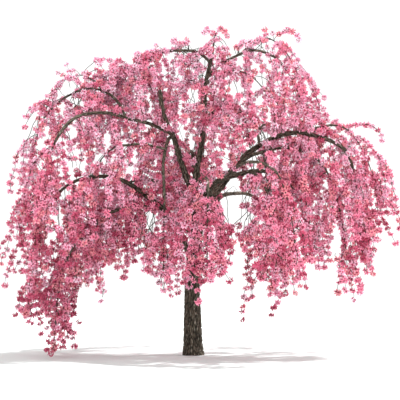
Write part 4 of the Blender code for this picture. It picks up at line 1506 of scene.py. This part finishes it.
def cluster_kinds(blossom):
    """A collection of each part of the clusters by its name, with one object for each kind."""
    shapes = [cluster_shapes(n, blossom.flower_width / 2, blossom.stalk_length)
              for n in range(CLUSTER_KINDS)]
    kinds = {}
    for part, label in enumerate(CLUSTER_PARTS):
        kinds[label] = bpy.data.collections.new(label)
        for n, found in enumerate(shapes):
            name = f"{label} {n:02d}"
            mesh = new_mesh(name, found[part].points, faces=found[part].faces)
            kinds[label].objects.link(bpy.data.objects.new(name, mesh))
    return kinds


class CHERRY_TREE_OT_blossom(bpy.types.Operator):
    """Makes the flowers: petals in several colours, dark hearts with buds, and stalks"""

    bl_idname = "cherry_tree.blossom"
    bl_label = "Blossom"

    def execute(self, context):
        blossom = context.scene.cherry_blossom
        clusters = all_clusters()
        kinds = cluster_kinds(blossom)
        pieces = []
        # Double cherry petals, grown thin and satiny. Each spray has one plain colour for its outer
        # petals and a deeper one for its inner petals, with a mottle as wide as a petal, which gives
        # the eye a lively pink that is bright at the rims and deep towards the hearts.
        for ring, tints in (("outer", OUTER_TINTS), ("inner", INNER_TINTS)):
            for index, tint in enumerate(tints):
                material = mottled_material("Cherry petals, satiny, " + tint.replace("_", " "),
                                            getattr(blossom, tint), **PETAL_MOTTLE)
                found = [cluster for cluster in clusters if getattr(cluster, ring) == index]
                pieces.append((tint + "_petals", found, ring + " petals", material))
        # Sepals, stamens' feet and closed buds, a dull dark red that sets each flower's middle off
        heart = mottled_material("Flower hearts and buds, matt", blossom.heart_colour,
                                 dark_share=0.6, patch=0.008, roughness=0.7)
        # Flower stalks, thin and brownish green, hardly seen but for a dark touch inside the sprays
        stalk = mottled_material("Flower stalks, matt", blossom.stalk_colour,
                                 dark_share=0.6, patch=0.010, roughness=0.7)
        pieces += [("hearts", clusters, "hearts", heart), ("stalks", clusters, "stalks", stalk)]
        tree = cluster_tree()
        for name, found, part, material in pieces:
            mesh = new_mesh(name, [c.place for c in found], kind=[c.kind for c in found],
                            turn=[c.turn for c in found], size=[c.size for c in found])
            add_piece(name, mesh, tree, {
                "Clusters": kinds[part], "Cluster Size": blossom.cluster_size, "Material": material},
                      MASS_NODES)
        for collection in kinds.values():
            for thing in list(collection.objects):
                bpy.data.objects.remove(thing, do_unlink=True)
            bpy.data.collections.remove(collection)
        return {"FINISHED"}


class CHERRY_TREE_OT_stage(bpy.types.Operator):
    """Makes the floor, the lights and the camera"""

    bl_idname = "cherry_tree.stage"
    bl_label = "Stage"

    def execute(self, context):
        stage = context.scene.cherry_stage
        scene = context.scene
        scene.view_settings.view_transform = "Standard"
        corners = [(x * FLOOR_REACH, y * FLOOR_REACH, 0.0) for x, y in ((-1, -1), (1, -1), (1, 1), (-1, 1))]
        mesh = new_mesh("floor", corners, faces=[(0, 1, 2, 3)])
        # Studio floor, rolled with matt paint: a barely uneven pale ground that takes soft shadows
        mesh.materials.append(mottled_material("Studio paint, rolled and matt", stage.floor_colour,
                                               dark_share=0.98, patch=0.5, roughness=0.9))
        add_object("floor", mesh)
        world = bpy.data.worlds.new("Pale surroundings")
        world.use_nodes = True
        sky = world.node_tree.nodes["Background"]
        sky.inputs["Color"].default_value = rgba((1.0, 1.0, 1.0))
        sky.inputs["Strength"].default_value = stage.sky_strength
        scene.world = world
        sun = bpy.data.lights.new("sun", "SUN")
        sun.energy = stage.sun_strength
        sun.angle = stage.sun_width
        toward = heading(math.degrees(stage.sun_azimuth), math.degrees(stage.sun_height))
        add_object("sun", sun).rotation_euler = Vector(toward).to_track_quat("Z", "Y").to_euler()
        lens = bpy.data.cameras.new("camera")
        lens.lens = stage.lens
        lens.sensor_width = SENSOR_WIDTH
        camera = add_object("camera", lens)
        camera.location = (stage.camera_aside, -stage.camera_distance, stage.camera_height)
        camera.rotation_euler = (math.pi / 2 + stage.camera_pitch, 0.0, 0.0)
        scene.camera = camera
        return {"FINISHED"}


class CHERRY_TREE_PT_panel(bpy.types.Panel):
    """Lists the tree's pieces and its settings"""

    bl_label = "Weeping Cherry Tree"
    bl_idname = "CHERRY_TREE_PT_panel"
    bl_space_type = "VIEW_3D"
    bl_region_type = "UI"
    bl_category = "Cherry Tree"

    def draw(self, context):
        column = self.layout.column()
        for operator in OPERATORS:
            column.operator(operator.bl_idname)
        for name, group in SETTINGS:
            box = self.layout.box()
            for key in group.__annotations__:
                box.prop(getattr(context.scene, name), key)


OPERATORS = (CHERRY_TREE_OT_stage, CHERRY_TREE_OT_trunk, CHERRY_TREE_OT_boughs, CHERRY_TREE_OT_twigs,
             CHERRY_TREE_OT_blossom)
SETTINGS = (("cherry_bark", BarkSettings), ("cherry_blossom", BlossomSettings),
            ("cherry_stage", StageSettings))


def register():
    for name, group in SETTINGS:
        bpy.utils.register_class(group)
        setattr(bpy.types.Scene, name, PointerProperty(type=group))
    for shown in (*OPERATORS, CHERRY_TREE_PT_panel):
        bpy.utils.register_class(shown)


def unregister():
    for shown in (CHERRY_TREE_PT_panel, *reversed(OPERATORS)):
        bpy.utils.unregister_class(shown)
    for name, group in reversed(SETTINGS):
        delattr(bpy.types.Scene, name)
        bpy.utils.unregister_class(group)


def main():
    register()
    bpy.ops.cherry_tree.stage()
    bpy.ops.cherry_tree.trunk()
    bpy.ops.cherry_tree.boughs()
    bpy.ops.cherry_tree.twigs()
    bpy.ops.cherry_tree.blossom()


if __name__ == "__main__":
    main()
